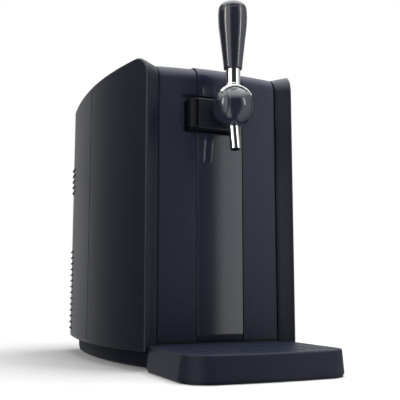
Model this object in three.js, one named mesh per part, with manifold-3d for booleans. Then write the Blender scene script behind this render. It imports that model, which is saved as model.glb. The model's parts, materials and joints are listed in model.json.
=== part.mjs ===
// Countertop dispenser for a small keg of beer: a cooled keg chamber behind a swinging door,
// a tap with a lever on the door, and a drip tray that slides out in front.
// Millimetres, +Z up, +X to the right, +Y to the back. The origin is under the middle of the whole.

import * as THREE from 'three';
import { mergeVertices } from 'three/addons/utils/BufferGeometryUtils.js';
import Module from 'manifold-3d';

const wasm = await Module();
wasm.setup();

// Shared clearances
const fitGap = 0.3;
const overrun = 6;

// Casing
const bodyDepth = 358;
const bodyHeight = 386.2;
const frontHalfWidth = 101.8;
const widestHalfWidth = 130;
const widestDepth = 185;
const rearFlankRadius = 947;
const rearCornerRadius = 48;
const casingWall = 3;
const casingBottom = 23.5;
const earCornerRadius = 28;
const rimWidth = 18.6;
const rimDrop = 11.65;
const rimTopDrop = 5.5;
const rimThickness = 3.2;
const rimEdgeRadius = 2.5;
const seamDepth = 170;
const seamGap = 1;
const seamLipLength = 7;
const seamLipThickness = 2.2;
const rearBottomRadius = 6;
const rearCornerSteps = 4;
const earCornerSteps = 6;

// Louvres of the rear cover
const louvrePitch = 9.1;
const louvreLowStart = 36;
const louvreLowCount = 14;
const louvreHighStart = 250;
const louvreHighCount = 5;
const louvreSlotHeight = 4.2;
const louvreHoodHeight = 4.4;
const louvreLip = 2.2;
const louvreSlotInset = 2.5;
const louvreFlankStart = 298;
const louvreSpineHalfWidth = 27;

// Top cover
const topThickness = 3;
const topFlangeReach = 5.6;
const topFlangeThickness = 2.4;

// Base and feet
const plinthInset = 14;
const plinthFront = 15.8;
const footHeight = 2.5;
const footRadius = 9;
const footInset = 22;
const baseWall = 3;
const baseFlangeInset = 4;
const baseFlangeThickness = 1.6;

// Door
const doorHalfWidth = 82.5;
const doorBottom = 33;
const doorBow = 2.95;
const doorTopBow = 1.5;
const doorTopRadius = 21;
const doorDepth = 22;
const skinThickness = 3;
const doorEdgeRadius = 3;
const columnHalfWidth = 30.9;
const columnGap = 1.2;
const columnProud = 0.8;
const columnRise = 2.4;
const columnFoot = 40;
const columnEdgeSoftening = 1;
const hingeInset = 8;
const hingeSetback = 5;
const hingePinRadius = 1.5;
const hingeArmWidth = 6;
const hingeArmThickness = 2.5;
const hingeArmRise = 3.3;
const hingeEyeRadius = 3.2;
const hingePinLength = 10;
const hingeChamferDepth = 2.4;

// Pocket and tap block, which lie mostly left of the tap
const pocketLeft = -52.5;
const pocketRight = 24.5;
const pocketBottomDrop = 92;
const pocketTopDrop = 45.2;
const pocketBottom = bodyHeight - pocketBottomDrop;
const pocketTop = bodyHeight - pocketTopDrop;
const pocketCorner = 6;
const pocketDepth = 4;
const blockLeft = -46;
const blockRight = 19;
const blockCurveWidth = 13;
const blockBottomDrop = 89.7;
const blockTopDrop = 51.6;
const blockBottom = bodyHeight - blockBottomDrop;
const blockTop = bodyHeight - blockTopDrop;
const blockReach = 18.2;
const blockCorner = 9;
const blockSoftening = 1.4;
const blockRightCorner = 2.8;
const blockGrooveInset = 9.2;
const blockGrooveWidth = 1.2;
const blockGrooveDepth = 2.4;
const blockGrooveMargin = 4.5;

// Tap
const tapReach = 42.7;
const tapDrop = 66;
const tapHeight = bodyHeight - tapDrop;
const tapBodyRadius = 23.3;
const tapCapRadius = 24;
const tapSeam = 15.7;
const tapStemRadius = 14;
const pivotRadius = 3;
const pivotReach = 21;
const spoutRadius = 5.6;
const spoutBore = 4.3;
const spoutLeanDegrees = 9.5;
const spoutTopDrop = 15;
const spoutBottomDrop = 54.2;
const spoutSetForward = 2;

// Lever and handle
const yokeThickness = 2.4;
const yokeFront = 12;
const yokeBack = 9;
const yokeSweepDegrees = 62;
const strapSegments = 28;
const neckRadius = 9.2;
const neckTop = 47.2;
const stubRadius = 5;
const stubHeight = 12;
const turnedSegments = 24;
const handleHeight = 89.7;
const handleFootRadius = 11.4;
const handleMaxRadius = 18.3;
const handleCapHeight = 10.4;
const handleCapRadius = 17.6;
const handleSpigotRadius = 11;
const handleSpigotLength = 4;
const magnetHeight = 4;

// Drip tray
const trayHalfWidth = 99.5;
const trayReach = 137;
const trayBow = 2.5;
const trayHeight = 30;
const trayCorner = 27;
const trayDraft = 3;
const trayWall = 2.5;
const trayFootHeight = 3;
const trayFootInset = 2;
const trayRearGap = 0.8;
const trayTongueHalfWidth = 81;
const trayMargin = 8;
const trayRearMargin = 6;
const trayLedge = 5;
const gridThickness = 2.6;
const gridSlotLength = 15;
const gridSlotWidth = 3;
const gridSlotColumns = 7;
const gridSlotRows = 5;
const gridSlotPitchX = 22;
const gridSlotPitchY = 17;

// Keg chamber
const chamberHalfWidth = 79.5;
const chamberCentre = 118;
const chamberFloor = 40;
const chamberHeadroom = 28.7;
const chamberCeiling = bodyHeight - chamberHeadroom;
const linerThickness = 1.5;
const foamThickness = 15;
const frameThickness = 4;
const frameHalfWidth = 97;
const gasketWidth = 2.7;
const gasketThickness = 1.9;
const skirtFront = 12.7;
const cradleRadius = 70;
const cradleWidth = 9;
const cradleHeight = 10;
const couplerRadius = 8;
const couplerHeight = 14;

// Cooling unit behind the chamber
const coldPlateSize = 40;
const coldPlateHeight = 205;
const coldPlateThickness = 16.4;
const peltierThickness = 4;
const sinkWidth = 112;
const sinkHeight = 120;
const sinkBase = 6;
const sinkFinDepth = 32;
const sinkFinThickness = 1.6;
const sinkFinCount = 13;
const fanSize = 92;
const fanDepth = 25;
const fanBore = 43;
const fanHubRadius = 17;
const fanBladeReach = 41;
const fanBladeCount = 7;
const fanBladeChord = 17;
const fanBladeThickness = 2;
const fanBladeTwistDegrees = 38;
const fanStrutWidth = 5;
const fanStrutDepth = 3;

// Power, pump and board
const pumpLength = 46;
const pumpRadius = 13;
const pumpHeadSize = 30;
const pumpSideGap = 21;
const pumpDepthShare = 0.55;
const pumpPlaceX = plinthInset + baseWall + pumpSideGap + pumpHeadSize / 2 - widestHalfWidth;
const pumpPlaceY = chamberCentre + pumpDepthShare * (bodyDepth - chamberCentre);
const supplySideGap = 4;
const supplyWidth = -2 * (pumpPlaceX + pumpRadius + supplySideGap);
const supplyLength = 56;
const supplyHeight = 38;
const supplyRearGap = 24;
const boardThickness = 1.6;
const boardMargin = 6;
const boardStandoff = 5;
const boardStandoffRadius = 2.5;
const chipHeight = 7;
const hoseRadius = 3;
const hoseBore = 1.8;
const inletWidth = 28;
const inletHeight = 20;
const inletDepth = 22;
const inletPlaceZ = 62;
const inletFlange = 3;
const switchWidth = 22;
const switchHeight = 30;
const switchDepth = 14;
const switchPlaceZ = 104;
const switchFrame = 2;
const rockerTiltDegrees = 8;

// Small inner pieces
const displayHalfWidth = 26;
const displayBottomDrop = 42.7;
const displayTopDrop = 25.2;
const displayBottom = bodyHeight - displayBottomDrop;
const displayTop = bodyHeight - displayTopDrop;
const displayThickness = 1.4;
const displayModuleDepth = 6;
const doorMagnetWidth = 34;
const doorMagnetPlaceX = 40;
const doorMagnetHeight = 2.8;
const doorMagnetDepth = 5;
const doorMagnetPlateThickness = 1.6;

// Finishes
const navyPlastic = [0x2b2d38, 0.42, 0];
const glossNavy = [0x1c1f29, 0.12, 0];
const blackPlastic = [0x141518, 0.5, 0];
const chromeFinish = [0xd8dadd, 0.06, 1];
const foamFinish = [0xe8e6df, 0.95, 0];
const metalFinish = [0xb5b8bc, 0.35, 1];
const rubberFinish = [0x111112, 0.9, 0];
const boardFinish = [0x1f5a38, 0.6, 0];

// Turns a closed geometry into a solid that can be cut and joined.
function toSolid(geometry) {
  const bare = geometry.index ? geometry.toNonIndexed() : geometry.clone();
  bare.deleteAttribute('normal');
  bare.deleteAttribute('uv');
  const merged = mergeVertices(bare, 1e-4);
  return new wasm.Manifold(new wasm.Mesh({
    numProp: 3,
    vertProperties: new Float32Array(merged.attributes.position.array),
    triVerts: new Uint32Array(merged.index.array),
  }));
}

// Turns a solid back into a geometry with flat shading.
function toGeometry(body) {
  const mesh = body.getMesh();
  const geometry = new THREE.BufferGeometry();
  geometry.setAttribute('position', new THREE.BufferAttribute(new Float32Array(mesh.vertProperties), 3));
  geometry.setIndex(new THREE.BufferAttribute(new Uint32Array(mesh.triVerts), 1));
  return geometry;
}

// Joins several solids into one.
function join(first, ...others) {
  return others.reduce((whole, other) => whole.add(other), first);
}

// Cuts several solids out of the first.
function cut(first, ...others) {
  return others.reduce((whole, other) => whole.subtract(other), first);
}

// Adds a named mesh to a group.
function addPiece(group, name, body, [color, roughness, metalness]) {
  const material = new THREE.MeshStandardMaterial({ color, roughness, metalness });
  const mesh = new THREE.Mesh(toGeometry(body), material);
  mesh.name = name;
  group.add(mesh);
  return mesh;
}

// Shape with straight sides through the points.
function outline(points) {
  return new THREE.Shape(points.map(([x, y]) => new THREE.Vector2(x, y)));
}

// Rectangle with round corners about a centre.
function roundedRectangle(left, bottom, right, top, radius, steps = 4) {
  const corners = [
    [right - radius, top - radius, 0],
    [left + radius, top - radius, 1],
    [left + radius, bottom + radius, 2],
    [right - radius, bottom + radius, 3],
  ];
  return corners.flatMap(([x, y, quarter]) => (
    arcPoints(x, y, radius, quarter * 90, quarter * 90 + 90, steps)));
}

// Points on an arc, angles in degrees from +X towards +Y.
function arcPoints(x, y, radius, fromDegrees, toDegrees, steps) {
  return Array.from({ length: steps + 1 }, (_, step) => {
    const angle = THREE.MathUtils.degToRad(fromDegrees + ((toDegrees - fromDegrees) * step) / steps);
    return [x + radius * Math.cos(angle), y + radius * Math.sin(angle)];
  });
}

// Upright prism over an outline in X and Y.
function prismZ(points, from, to) {
  const geometry = new THREE.ExtrudeGeometry(outline(points), { depth: to - from, bevelEnabled: false });
  return toSolid(geometry.translate(0, 0, from));
}

// Prism along X over an outline in Y and Z.
function prismX(points, from, to) {
  const geometry = new THREE.ExtrudeGeometry(outline(points), { depth: to - from, bevelEnabled: false });
  const turn = new THREE.Matrix4().makeBasis(
    new THREE.Vector3(0, 1, 0), new THREE.Vector3(0, 0, 1), new THREE.Vector3(1, 0, 0));
  return toSolid(geometry.translate(0, 0, from).applyMatrix4(turn));
}

// Prism along Y over an outline in X and Z.
function prismY(points, from, to) {
  const turned = points.map(([x, z]) => [z, x]);
  const geometry = new THREE.ExtrudeGeometry(outline(turned), { depth: to - from, bevelEnabled: false });
  const turn = new THREE.Matrix4().makeBasis(
    new THREE.Vector3(0, 0, 1), new THREE.Vector3(1, 0, 0), new THREE.Vector3(0, 1, 0));
  return toSolid(geometry.translate(0, 0, from).applyMatrix4(turn));
}

// Box between two corners.
function box(x0, y0, z0, x1, y1, z1) {
  const geometry = new THREE.BoxGeometry(x1 - x0, y1 - y0, z1 - z0);
  return toSolid(geometry.translate((x0 + x1) / 2, (y0 + y1) / 2, (z0 + z1) / 2));
}

// Round bar along an axis letter, centred on the other two coordinates.
function bar(axis, radius, from, to, u, v, segments = 24) {
  const geometry = new THREE.CylinderGeometry(radius, radius, to - from, segments);
  geometry.translate(0, (from + to) / 2, 0);
  if (axis === 'x') geometry.rotateZ(-Math.PI / 2).translate(0, u, v);
  if (axis === 'y') geometry.translate(u, 0, v);
  if (axis === 'z') geometry.rotateX(Math.PI / 2).translate(u, v, 0);
  return toSolid(geometry);
}

// Turned shape about the Z axis from a profile of radius and height.
function turned(profile, segments = 32) {
  const points = profile.map(([radius, height]) => new THREE.Vector2(radius, height));
  return toSolid(new THREE.LatheGeometry(points, segments).rotateX(Math.PI / 2));
}

// Closed skin over sections that all have the same number of points.
function loft(sections) {
  const count = sections[0].length;
  const positions = sections.flat(2);
  const faces = [];
  for (let row = 0; row + 1 < sections.length; row += 1) {
    for (let column = 0; column < count; column += 1) {
      const next = (column + 1) % count;
      const a = row * count + column;
      const b = row * count + next;
      faces.push(a, b, a + count, b, b + count, a + count);
    }
  }
  const last = (sections.length - 1) * count;
  capFaces(sections[0]).forEach(([a, b, c]) => faces.push(a, c, b));
  capFaces(sections[sections.length - 1]).forEach(([a, b, c]) => faces.push(last + a, last + b, last + c));
  const geometry = new THREE.BufferGeometry();
  geometry.setAttribute('position', new THREE.Float32BufferAttribute(positions, 3));
  geometry.setIndex(faces);
  if (signedVolume(geometry) < 0) turnInsideOut(geometry);
  return toSolid(geometry);
}

// Triangles over one flat section, wound the way its points run.
function capFaces(section) {
  const points = section.map((point) => new THREE.Vector3(...point));
  const normal = new THREE.Vector3();
  points.forEach((point, index) => {
    normal.add(new THREE.Vector3().crossVectors(point, points[(index + 1) % points.length]));
  });
  normal.normalize();
  const across = new THREE.Vector3().subVectors(points[1], points[0]).normalize();
  const up = new THREE.Vector3().crossVectors(normal, across);
  const flat = points.map((point) => new THREE.Vector2(point.dot(across), point.dot(up)));
  return THREE.ShapeUtils.triangulateShape(flat, []);
}

// Volume of a closed geometry, negative where its faces point in.
function signedVolume(geometry) {
  const { position } = geometry.attributes;
  const index = geometry.index.array;
  const corners = [new THREE.Vector3(), new THREE.Vector3(), new THREE.Vector3()];
  let volume = 0;
  for (let face = 0; face < index.length; face += 3) {
    corners.forEach((corner, place) => corner.fromBufferAttribute(position, index[face + place]));
    volume += corners[0].dot(corners[1].clone().cross(corners[2]));
  }
  return volume;
}

// Reverses the winding of every face.
function turnInsideOut(geometry) {
  const index = geometry.index.array;
  for (let face = 0; face < index.length; face += 3) {
    [index[face + 1], index[face + 2]] = [index[face + 2], index[face + 1]];
  }
}

// Mirrors a solid across the plane between left and right.
function mirrored(body) {
  const geometry = toGeometry(body);
  geometry.scale(-1, 1, 1);
  turnInsideOut(geometry);
  return toSolid(geometry);
}

// Plan of the casing. Depths are measured back from the front edges, and the flanks are two arcs
// that meet where the casing is widest, with round corners to a flat back.
const frontFlankRadius = (widestDepth ** 2 + (widestHalfWidth - frontHalfWidth) ** 2)
  / (2 * (widestHalfWidth - frontHalfWidth));
const cornerCentreY = bodyDepth - rearCornerRadius;
const cornerCentreX = widestHalfWidth - rearFlankRadius
  + Math.sqrt((rearFlankRadius - rearCornerRadius) ** 2 - (cornerCentreY - widestDepth) ** 2);
const cornerStart = Math.atan2(cornerCentreY - widestDepth,
  cornerCentreX - widestHalfWidth + rearFlankRadius);

// Half width of the casing at a depth in front of its rear corners.
function halfWidthAt(depth, inset = 0) {
  const radius = depth < widestDepth ? frontFlankRadius : rearFlankRadius;
  const centre = widestHalfWidth - radius;
  return centre + Math.sqrt((radius - inset) ** 2 - (depth - widestDepth) ** 2);
}

const flankStepShares = [0, 0.12, 0.27, 0.42, 0.58, 0.75, 0.92];
const rearStepShares = [0, 0.35, 0.7];

// Right half of the casing's plan from a depth to the middle of the back, inset from the outer skin.
function planFrom(depth, inset, cornerSteps = rearCornerSteps) {
  const flank = rearStepShares
    .map((share) => widestDepth + share * (cornerCentreY - widestDepth))
    .filter((y) => y > depth)
    .map((y) => [halfWidthAt(y, inset), y]);
  const radius = rearCornerRadius - inset;
  const startDegrees = THREE.MathUtils.radToDeg(cornerStart);
  const corner = arcPoints(cornerCentreX, cornerCentreY, radius, startDegrees, 90, cornerSteps);
  const start = [[halfWidthAt(depth, inset), depth]];
  return [...start, ...flank, ...corner];
}

// The same plan with both halves, right to left.
function wholePlanFrom(depth, inset, cornerSteps) {
  const right = planFrom(depth, inset, cornerSteps);
  const left = right.map(([x, y]) => [-x, y]).reverse();
  return [...right, ...left];
}

// Levels and depths that the rim, the door and the pieces behind it share. On the front the rim
// ends beside the door, and on top it ends at the top cover, wider by the flare of the flanks.
const rimInnerX = frontHalfWidth - rimWidth;
const rimInnerTop = bodyHeight - rimTopDrop;
const doorBack = rimDrop + doorDepth;
const coverFront = doorBack + fitGap * 2;
const rimTopWidth = halfWidthAt(coverFront) - rimInnerX;

// Height of the door's top and the top cover at a distance from the middle.
function crownAt(x) {
  return rimInnerTop + doorTopBow * Math.max(1 - (x / doorHalfWidth) ** 2, 0);
}

// Everything below the crowned top, lowered by an amount.
const crownShares = [-1, -0.5, 0, 0.5, 1];
function belowCrown(lowered) {
  const half = widestHalfWidth + overrun;
  const top = [half, ...crownShares.map((share) => -share * doorHalfWidth), -half];
  return prismY([[-half, 0], [half, 0], ...top.map((x) => [x, crownAt(x) - lowered])], 0, bodyDepth);
}

// Plan of the casing from a depth to the back, inset from the outer skin.
function rimPlan(depth, inset) {
  const right = flankDepths()
    .filter((y) => y > depth)
    .map((y) => [halfWidthAt(y) - inset, y]);
  const start = [[halfWidthAt(depth) - inset, depth]];
  const half = [...start, ...right, ...planFrom(seamDepth, inset).slice(1)];
  return [...half, ...half.map(([x, y]) => [-x, y]).reverse()];
}

// Depths at which the front flank has a corner of its faceted arc.
function flankDepths() {
  const turnEnd = Math.max(earCornerRadius, rimDrop + doorTopRadius);
  return flankStepShares.map((share) => share * widestDepth).filter((y) => y > turnEnd);
}

// Section of the rim. Each point has its share of the rounded edge's radius across and down, and
// its share of the way from there to the rim's inner end across and down.
const rimRoundShares = [[0, 1], [0.134, 0.5], [0.5, 0.134], [1, 0]];
const rimSlopeShares = [[0.78, 0.82], [0.92, 0.965], [1, 1]];

// Stations along the rim, up the front and back along the top. Each has the outer edge, the inner
// end beside the door or the top cover, and the angle by which the rim has turned.
function rimStations(endDepth) {
  const turn = Array.from({ length: earCornerSteps + 1 }, (_, step) => {
    const angle = (step / earCornerSteps) * (Math.PI / 2);
    const back = 1 - Math.cos(angle);
    const drop = 1 - Math.sin(angle);
    return {
      angle,
      outer: [earCornerRadius * back, bodyHeight - earCornerRadius * drop],
      inner: [rimDrop + doorTopRadius * back, rimInnerTop - doorTopRadius * drop],
    };
  });
  const back = [...flankDepths().filter((y) => y < endDepth), endDepth]
    .map((y) => ({ angle: Math.PI / 2, outer: [y, bodyHeight], inner: [y, rimInnerTop] }));
  return [{ angle: 0, outer: [0, casingBottom], inner: [rimDrop, casingBottom] }, ...turn, ...back];
}

// Half width of the rim's inner end at a depth: straight beside the door, then along the flanks.
function rimInnerXAt(depth) {
  return depth < coverFront ? rimInnerX : halfWidthAt(depth) - rimTopWidth;
}

// Side shell: an upright wall and the slanted rim that turns from the front edge over the top.
function sideShell() {
  const stations = rimStations(seamDepth - seamGap / 2);
  const rim = loft(stations.map(({ angle, outer, inner }) => {
    const [inY, inZ] = [Math.cos(angle), -Math.sin(angle)];
    const under = (point, down) => [point[0] + inY * down, point[1] + inZ * down];
    const edge = (across, down) => {
      const [y, z] = under(outer, down);
      return [halfWidthAt(y) - across, y, z];
    };
    const round = rimRoundShares.map(([across, down]) => edge(across * rimEdgeRadius, down * rimEdgeRadius));
    const crest = round[round.length - 1];
    const innerX = rimInnerXAt(inner[0]);
    const slope = rimSlopeShares.map(([across, down]) => [
      crest[0] + (innerX - crest[0]) * across,
      outer[0] + (inner[0] - outer[0]) * down,
      outer[1] + (inner[1] - outer[1]) * down,
    ]);
    return [...round, ...slope, [innerX, ...under(inner, rimThickness)],
      edge(rimEdgeRadius, rimThickness), edge(0, rimThickness + rimEdgeRadius)];
  }));
  const depths = stations.map(({ angle, outer }) => outer[0] + rimEdgeRadius * Math.cos(angle))
    .filter((y, place, all) => place === 0 || y > all[place - 1]);
  const skin = depths.map((y) => [halfWidthAt(y), y]);
  const inside = depths.map((y) => [halfWidthAt(y) - casingWall, y]).reverse();
  const wall = prismZ([...skin, ...inside], casingBottom, bodyHeight);
  const side = [
    [0, casingBottom - overrun],
    ...arcPoints(earCornerRadius, bodyHeight - earCornerRadius, earCornerRadius - rimEdgeRadius,
      180, 90, earCornerSteps),
    [bodyDepth, bodyHeight - rimEdgeRadius],
    [bodyDepth, casingBottom - overrun],
  ];
  return join(wall.intersect(prismX(side, 0, widestHalfWidth + overrun)), rim);
}

// Wall section of the rear cover, from the rounded bottom edge up to the slanted rim.
function rearSection() {
  const roundShares = [[1, 0], [0.5, 0.13], [0.13, 0.5], [0, 1]];
  const bottom = roundShares.map(([across, up]) => [
    across * rearBottomRadius / 2,
    casingBottom + up * rearBottomRadius,
  ]);
  const round = rimRoundShares.map(([across, down]) => [
    across * rimEdgeRadius, bodyHeight - down * rimEdgeRadius]);
  const slope = rimSlopeShares.map(([across, down]) => [
    rimEdgeRadius + (rimTopWidth - rimEdgeRadius) * across, bodyHeight - rimTopDrop * down]);
  return [
    ...bottom,
    ...round,
    ...slope,
    [rimTopWidth, rimInnerTop - rimThickness],
    [casingWall + seamLipThickness, bodyHeight - rimThickness],
    [casingWall, bodyHeight - rimThickness - seamLipThickness],
    [casingWall, casingBottom],
  ];
}

// Point of the plan at one of its stations, moved in by an inset.
function wholeStations(depth, cornerSteps) {
  const outer = wholePlanFrom(depth, 0, cornerSteps);
  const deep = wholePlanFrom(depth, rimTopWidth, cornerSteps);
  return outer.map((point, place) => ({
    point,
    across: [(deep[place][0] - point[0]) / rimTopWidth, (deep[place][1] - point[1]) / rimTopWidth],
  }));
}

// Stations along one bank of louvres, from the flank round the corner to the plain spine.
function louvreStations() {
  const flank = { y: louvreFlankStart, x: halfWidthAt(louvreFlankStart), nx: 1, ny: 0 };
  const corner = Array.from({ length: rearCornerSteps + 1 }, (_, step) => {
    const angle = cornerStart + ((Math.PI / 2 - cornerStart) * step) / rearCornerSteps;
    return {
      x: cornerCentreX + rearCornerRadius * Math.cos(angle),
      y: cornerCentreY + rearCornerRadius * Math.sin(angle),
      nx: Math.cos(angle),
      ny: Math.sin(angle),
    };
  });
  return [flank, ...corner, { x: louvreSpineHalfWidth, y: bodyDepth, nx: 0, ny: 1 }];
}

// Hood of one louvre: a wedge whose lip stands proud over the slot.
function louvreHood(height) {
  const section = [
    [-casingWall / 2, height],
    [louvreLip, height],
    [-casingWall / 2, height + louvreHoodHeight],
  ];
  return loft(louvreStations().map(({ x, y, nx, ny }) => (
    section.map(([out, z]) => [x + out * nx, y + out * ny, z]))));
}

// Slot of one louvre, through the corner and the flat back beside the spine.
function louvreSlot(height) {
  const cutDepth = casingWall * 2;
  const stations = louvreStations().slice(1);
  stations[stations.length - 1].x += louvreSlotInset;
  return loft(stations.map(({ x, y, nx, ny }) => [
    [x + louvreLip * nx / 2, y + louvreLip * ny / 2, height - louvreSlotHeight],
    [x + louvreLip * nx / 2, y + louvreLip * ny / 2, height],
    [x - cutDepth * nx, y - cutDepth * ny, height],
    [x - cutDepth * nx, y - cutDepth * ny, height - louvreSlotHeight],
  ]));
}

// Heights of the undersides of all louvre hoods.
function louvreHeights() {
  const bank = (start, count) => Array.from({ length: count }, (_, row) => start + row * louvrePitch);
  return [...bank(louvreLowStart, louvreLowCount), ...bank(louvreHighStart, louvreHighCount)];
}

// Rear cover: one moulding round the back with louvres, a joint lip and holes for inlet and switch.
function rearCover() {
  const start = seamDepth + seamGap / 2;
  const section = rearSection();
  const shell = loft(wholeStations(start, rearCornerSteps).map(({ point, across }) => (
    section.map(([inset, z]) => [point[0] + across[0] * inset, point[1] + across[1] * inset, z]))));
  const lipInset = casingWall + fitGap;
  const lipRight = prismZ([
    [halfWidthAt(start - seamLipLength) - lipInset, start - seamLipLength],
    [halfWidthAt(start + seamLipLength) - casingWall / 2, start + seamLipLength],
    [halfWidthAt(start + seamLipLength) - casingWall - seamLipThickness, start + seamLipLength],
    [halfWidthAt(start - seamLipLength) - lipInset - seamLipThickness, start - seamLipLength],
  ], casingBottom + rearBottomRadius, rimInnerTop - rimThickness - seamLipLength);
  const lipTrim = box(halfWidthAt(start) - lipInset, start - overrun * 2, casingBottom,
    widestHalfWidth + overrun, start, bodyHeight);
  const lip = cut(lipRight, lipTrim);
  const hoods = louvreHeights().map(louvreHood);
  const slots = louvreHeights().map(louvreSlot);
  const inlet = box(-inletWidth / 2 - fitGap, bodyDepth - overrun, inletPlaceZ - inletHeight / 2 - fitGap,
    inletWidth / 2 + fitGap, bodyDepth + overrun, inletPlaceZ + inletHeight / 2 + fitGap);
  const rocker = box(-switchWidth / 2 - fitGap, bodyDepth - overrun, switchPlaceZ - switchHeight / 2 - fitGap,
    switchWidth / 2 + fitGap, bodyDepth + overrun, switchPlaceZ + switchHeight / 2 + fitGap);
  const withHoods = join(shell, lip, mirrored(lip), ...hoods, ...hoods.map(mirrored));
  return cut(withHoods, ...slots, ...slots.map(mirrored), inlet, rocker);
}

// Top cover: a crowned plate inside the slanted rims with a flange that reaches under them.
function topCover() {
  const behindFrame = frameFront + frameThickness + fitGap;
  const underside = belowCrown(topThickness);
  const slab = prismZ(rimPlan(coverFront, rimTopWidth + fitGap), flangeBottom, bodyHeight);
  const plate = cut(slab.intersect(belowCrown(0)), underside);
  const flange = prismZ(rimPlan(behindFrame, rimTopWidth - topFlangeReach), flangeBottom, frameTop);
  const web = prismZ(rimPlan(behindFrame, rimTopWidth + fitGap * 2), flangeBottom, bodyHeight)
    .intersect(belowCrown(topThickness / 2));
  const hollow = prismZ(rimPlan(behindFrame + topFlangeReach, rimTopWidth + topFlangeReach),
    flangeBottom - overrun, bodyHeight).intersect(underside);
  return join(plate, cut(join(flange, web), hollow));
}

// Base pan under the casing, open at the top, with a floor that carries the pump and the supply.
function basePan() {
  const top = casingBottom - fitGap;
  const outer = prismZ(rimPlan(plinthFront, plinthInset), footHeight, top);
  const flange = prismZ(rimPlan(plinthFront, baseFlangeInset), top - baseFlangeThickness, top);
  const inner = prismZ(rimPlan(plinthFront + baseWall, plinthInset + baseWall),
    footHeight + baseWall, top + overrun);
  return cut(join(outer, flange), inner);
}

// Rubber foot under a corner of the base.
function foot(x, y) {
  return bar('z', footRadius, 0, footHeight, x, y, 20);
}

// Depth of the door's face, which bows forward in the middle.
function doorFaceAt(x) {
  return rimDrop - doorBow * (1 - (x / doorHalfWidth) ** 2);
}

// Section of a door skin: up the face, round the top edge and back along the top.
function skinSection(face, bottom, top, back, thickness, radius) {
  const inside = Math.max(radius - thickness, radius / 4);
  return [
    [face, bottom],
    ...arcPoints(face + radius, top - radius, radius, 180, 90, 5),
    [back, top],
    [back, top - thickness],
    ...arcPoints(face + thickness + inside, top - thickness - inside, inside, 90, 180, 3),
    [face + thickness, bottom],
  ];
}

const frameFront = doorBack + gasketThickness + fitGap * 2;
const frameTop = rimInnerTop - rimThickness - fitGap;
const flangeBottom = frameTop - topFlangeThickness;

// How far the door's rounded outer edge lies behind its face at a distance from the middle.
function edgeInsetAt(x) {
  const into = Math.max(Math.abs(x) - doorHalfWidth + doorEdgeRadius, 0);
  return doorEdgeRadius - Math.sqrt(doorEdgeRadius ** 2 - Math.min(into, doorEdgeRadius) ** 2);
}

// Right wing of the door, with a round outer edge.
const wingShares = [0, 0.34, 0.68];
function doorWing() {
  const inner = columnHalfWidth + columnGap;
  const flat = wingShares.map((share) => inner + share * (doorHalfWidth - doorEdgeRadius - inner));
  const edge = arcPoints(doorHalfWidth - doorEdgeRadius, 0, doorEdgeRadius, 90, 10, 4).map(([x]) => x);
  return loft([...flat, ...edge].map((x) => {
    const inset = edgeInsetAt(x);
    const face = doorFaceAt(x) + inset;
    const top = crownAt(x) - inset;
    return skinSection(face, doorBottom, top, doorBack, skinThickness, doorTopRadius - inset)
      .map(([y, z]) => [x, y, z]);
  }));
}

// Cutter for the pocket round the tap block, back to a depth.
function pocketCutter(back) {
  const points = roundedRectangle(pocketLeft, pocketBottom, pocketRight, pocketTop, pocketCorner);
  return prismY(points, -overrun, back);
}

// Face of the centre column, proud of the wings and rounded at its long edges.
function columnSolid() {
  const edges = [
    { x: -columnHalfWidth, inset: columnEdgeSoftening },
    { x: -columnHalfWidth + columnEdgeSoftening, inset: 0 },
    { x: -columnHalfWidth / 3, inset: 0 },
    { x: columnHalfWidth / 3, inset: 0 },
    { x: columnHalfWidth - columnEdgeSoftening, inset: 0 },
    { x: columnHalfWidth, inset: columnEdgeSoftening },
  ];
  const thickness = skinThickness + columnProud;
  return loft(edges.map(({ x, inset }) => {
    const face = doorFaceAt(x) - columnProud + inset;
    const top = crownAt(x) + columnRise - inset;
    const radius = doorTopRadius + columnRise - inset;
    return skinSection(face, doorBottom, top, doorBack, thickness - inset, radius)
      .map(([y, z]) => [x, y, z]);
  }));
}

// Lower panel of the column, with its foot sloped back and an arm up beside the pocket.
function columnPanel() {
  const below = box(-columnHalfWidth - overrun, -overrun, 0,
    columnHalfWidth + overrun, doorBack + overrun, pocketTop);
  const face = doorFaceAt(0) - columnProud;
  const footSlope = prismX([
    [face - overrun, columnFoot],
    [face, columnFoot],
    [face + skinThickness - columnEdgeSoftening, doorBottom],
    [face + skinThickness - columnEdgeSoftening, doorBottom - overrun],
    [face - overrun, doorBottom - overrun],
  ], -columnHalfWidth - overrun, columnHalfWidth + overrun);
  return cut(columnSolid().intersect(below), footSlope, pocketCutter(doorBack + overrun));
}

// Upper end of the column above the pocket, with a seat for the display window.
function columnCrown() {
  const above = box(-columnHalfWidth - overrun, -overrun, pocketTop + fitGap,
    columnHalfWidth + overrun, doorBack + overrun, bodyHeight + overrun);
  return cut(columnSolid().intersect(above), displayShape(fitGap, overrun));
}

// Display window, following the column's face, grown by a gap and raised in front.
function displayShape(gap, proud) {
  const half = displayHalfWidth + gap;
  const steps = [-half, -half / 3, half / 3, half];
  return loft(steps.map((x) => {
    const face = doorFaceAt(x) - columnProud;
    return [
      [x, face - proud, displayBottom - gap],
      [x, face + displayThickness + gap, displayBottom - gap],
      [x, face + displayThickness + gap, displayTop + gap],
      [x, face - proud, displayTop + gap],
    ];
  }));
}

const pocketFloor = rimDrop + skinThickness + pocketDepth - doorBow / 2;
const hingeX = -doorHalfWidth + hingeInset;
const hingeY = rimDrop + hingeSetback;
const hingeArmBottom = chamberCeiling + hingeArmRise;
const hingeArmTop = hingeArmBottom + hingeArmThickness;

// Room in the door for the hinge arm as the door turns round it.
function hingeNotch(top) {
  return box(-doorHalfWidth - overrun, hingeY - hingeEyeRadius - fitGap, hingeArmBottom - fitGap,
    hingeX + hingeEyeRadius + fitGap, doorBack + overrun, top);
}

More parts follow.
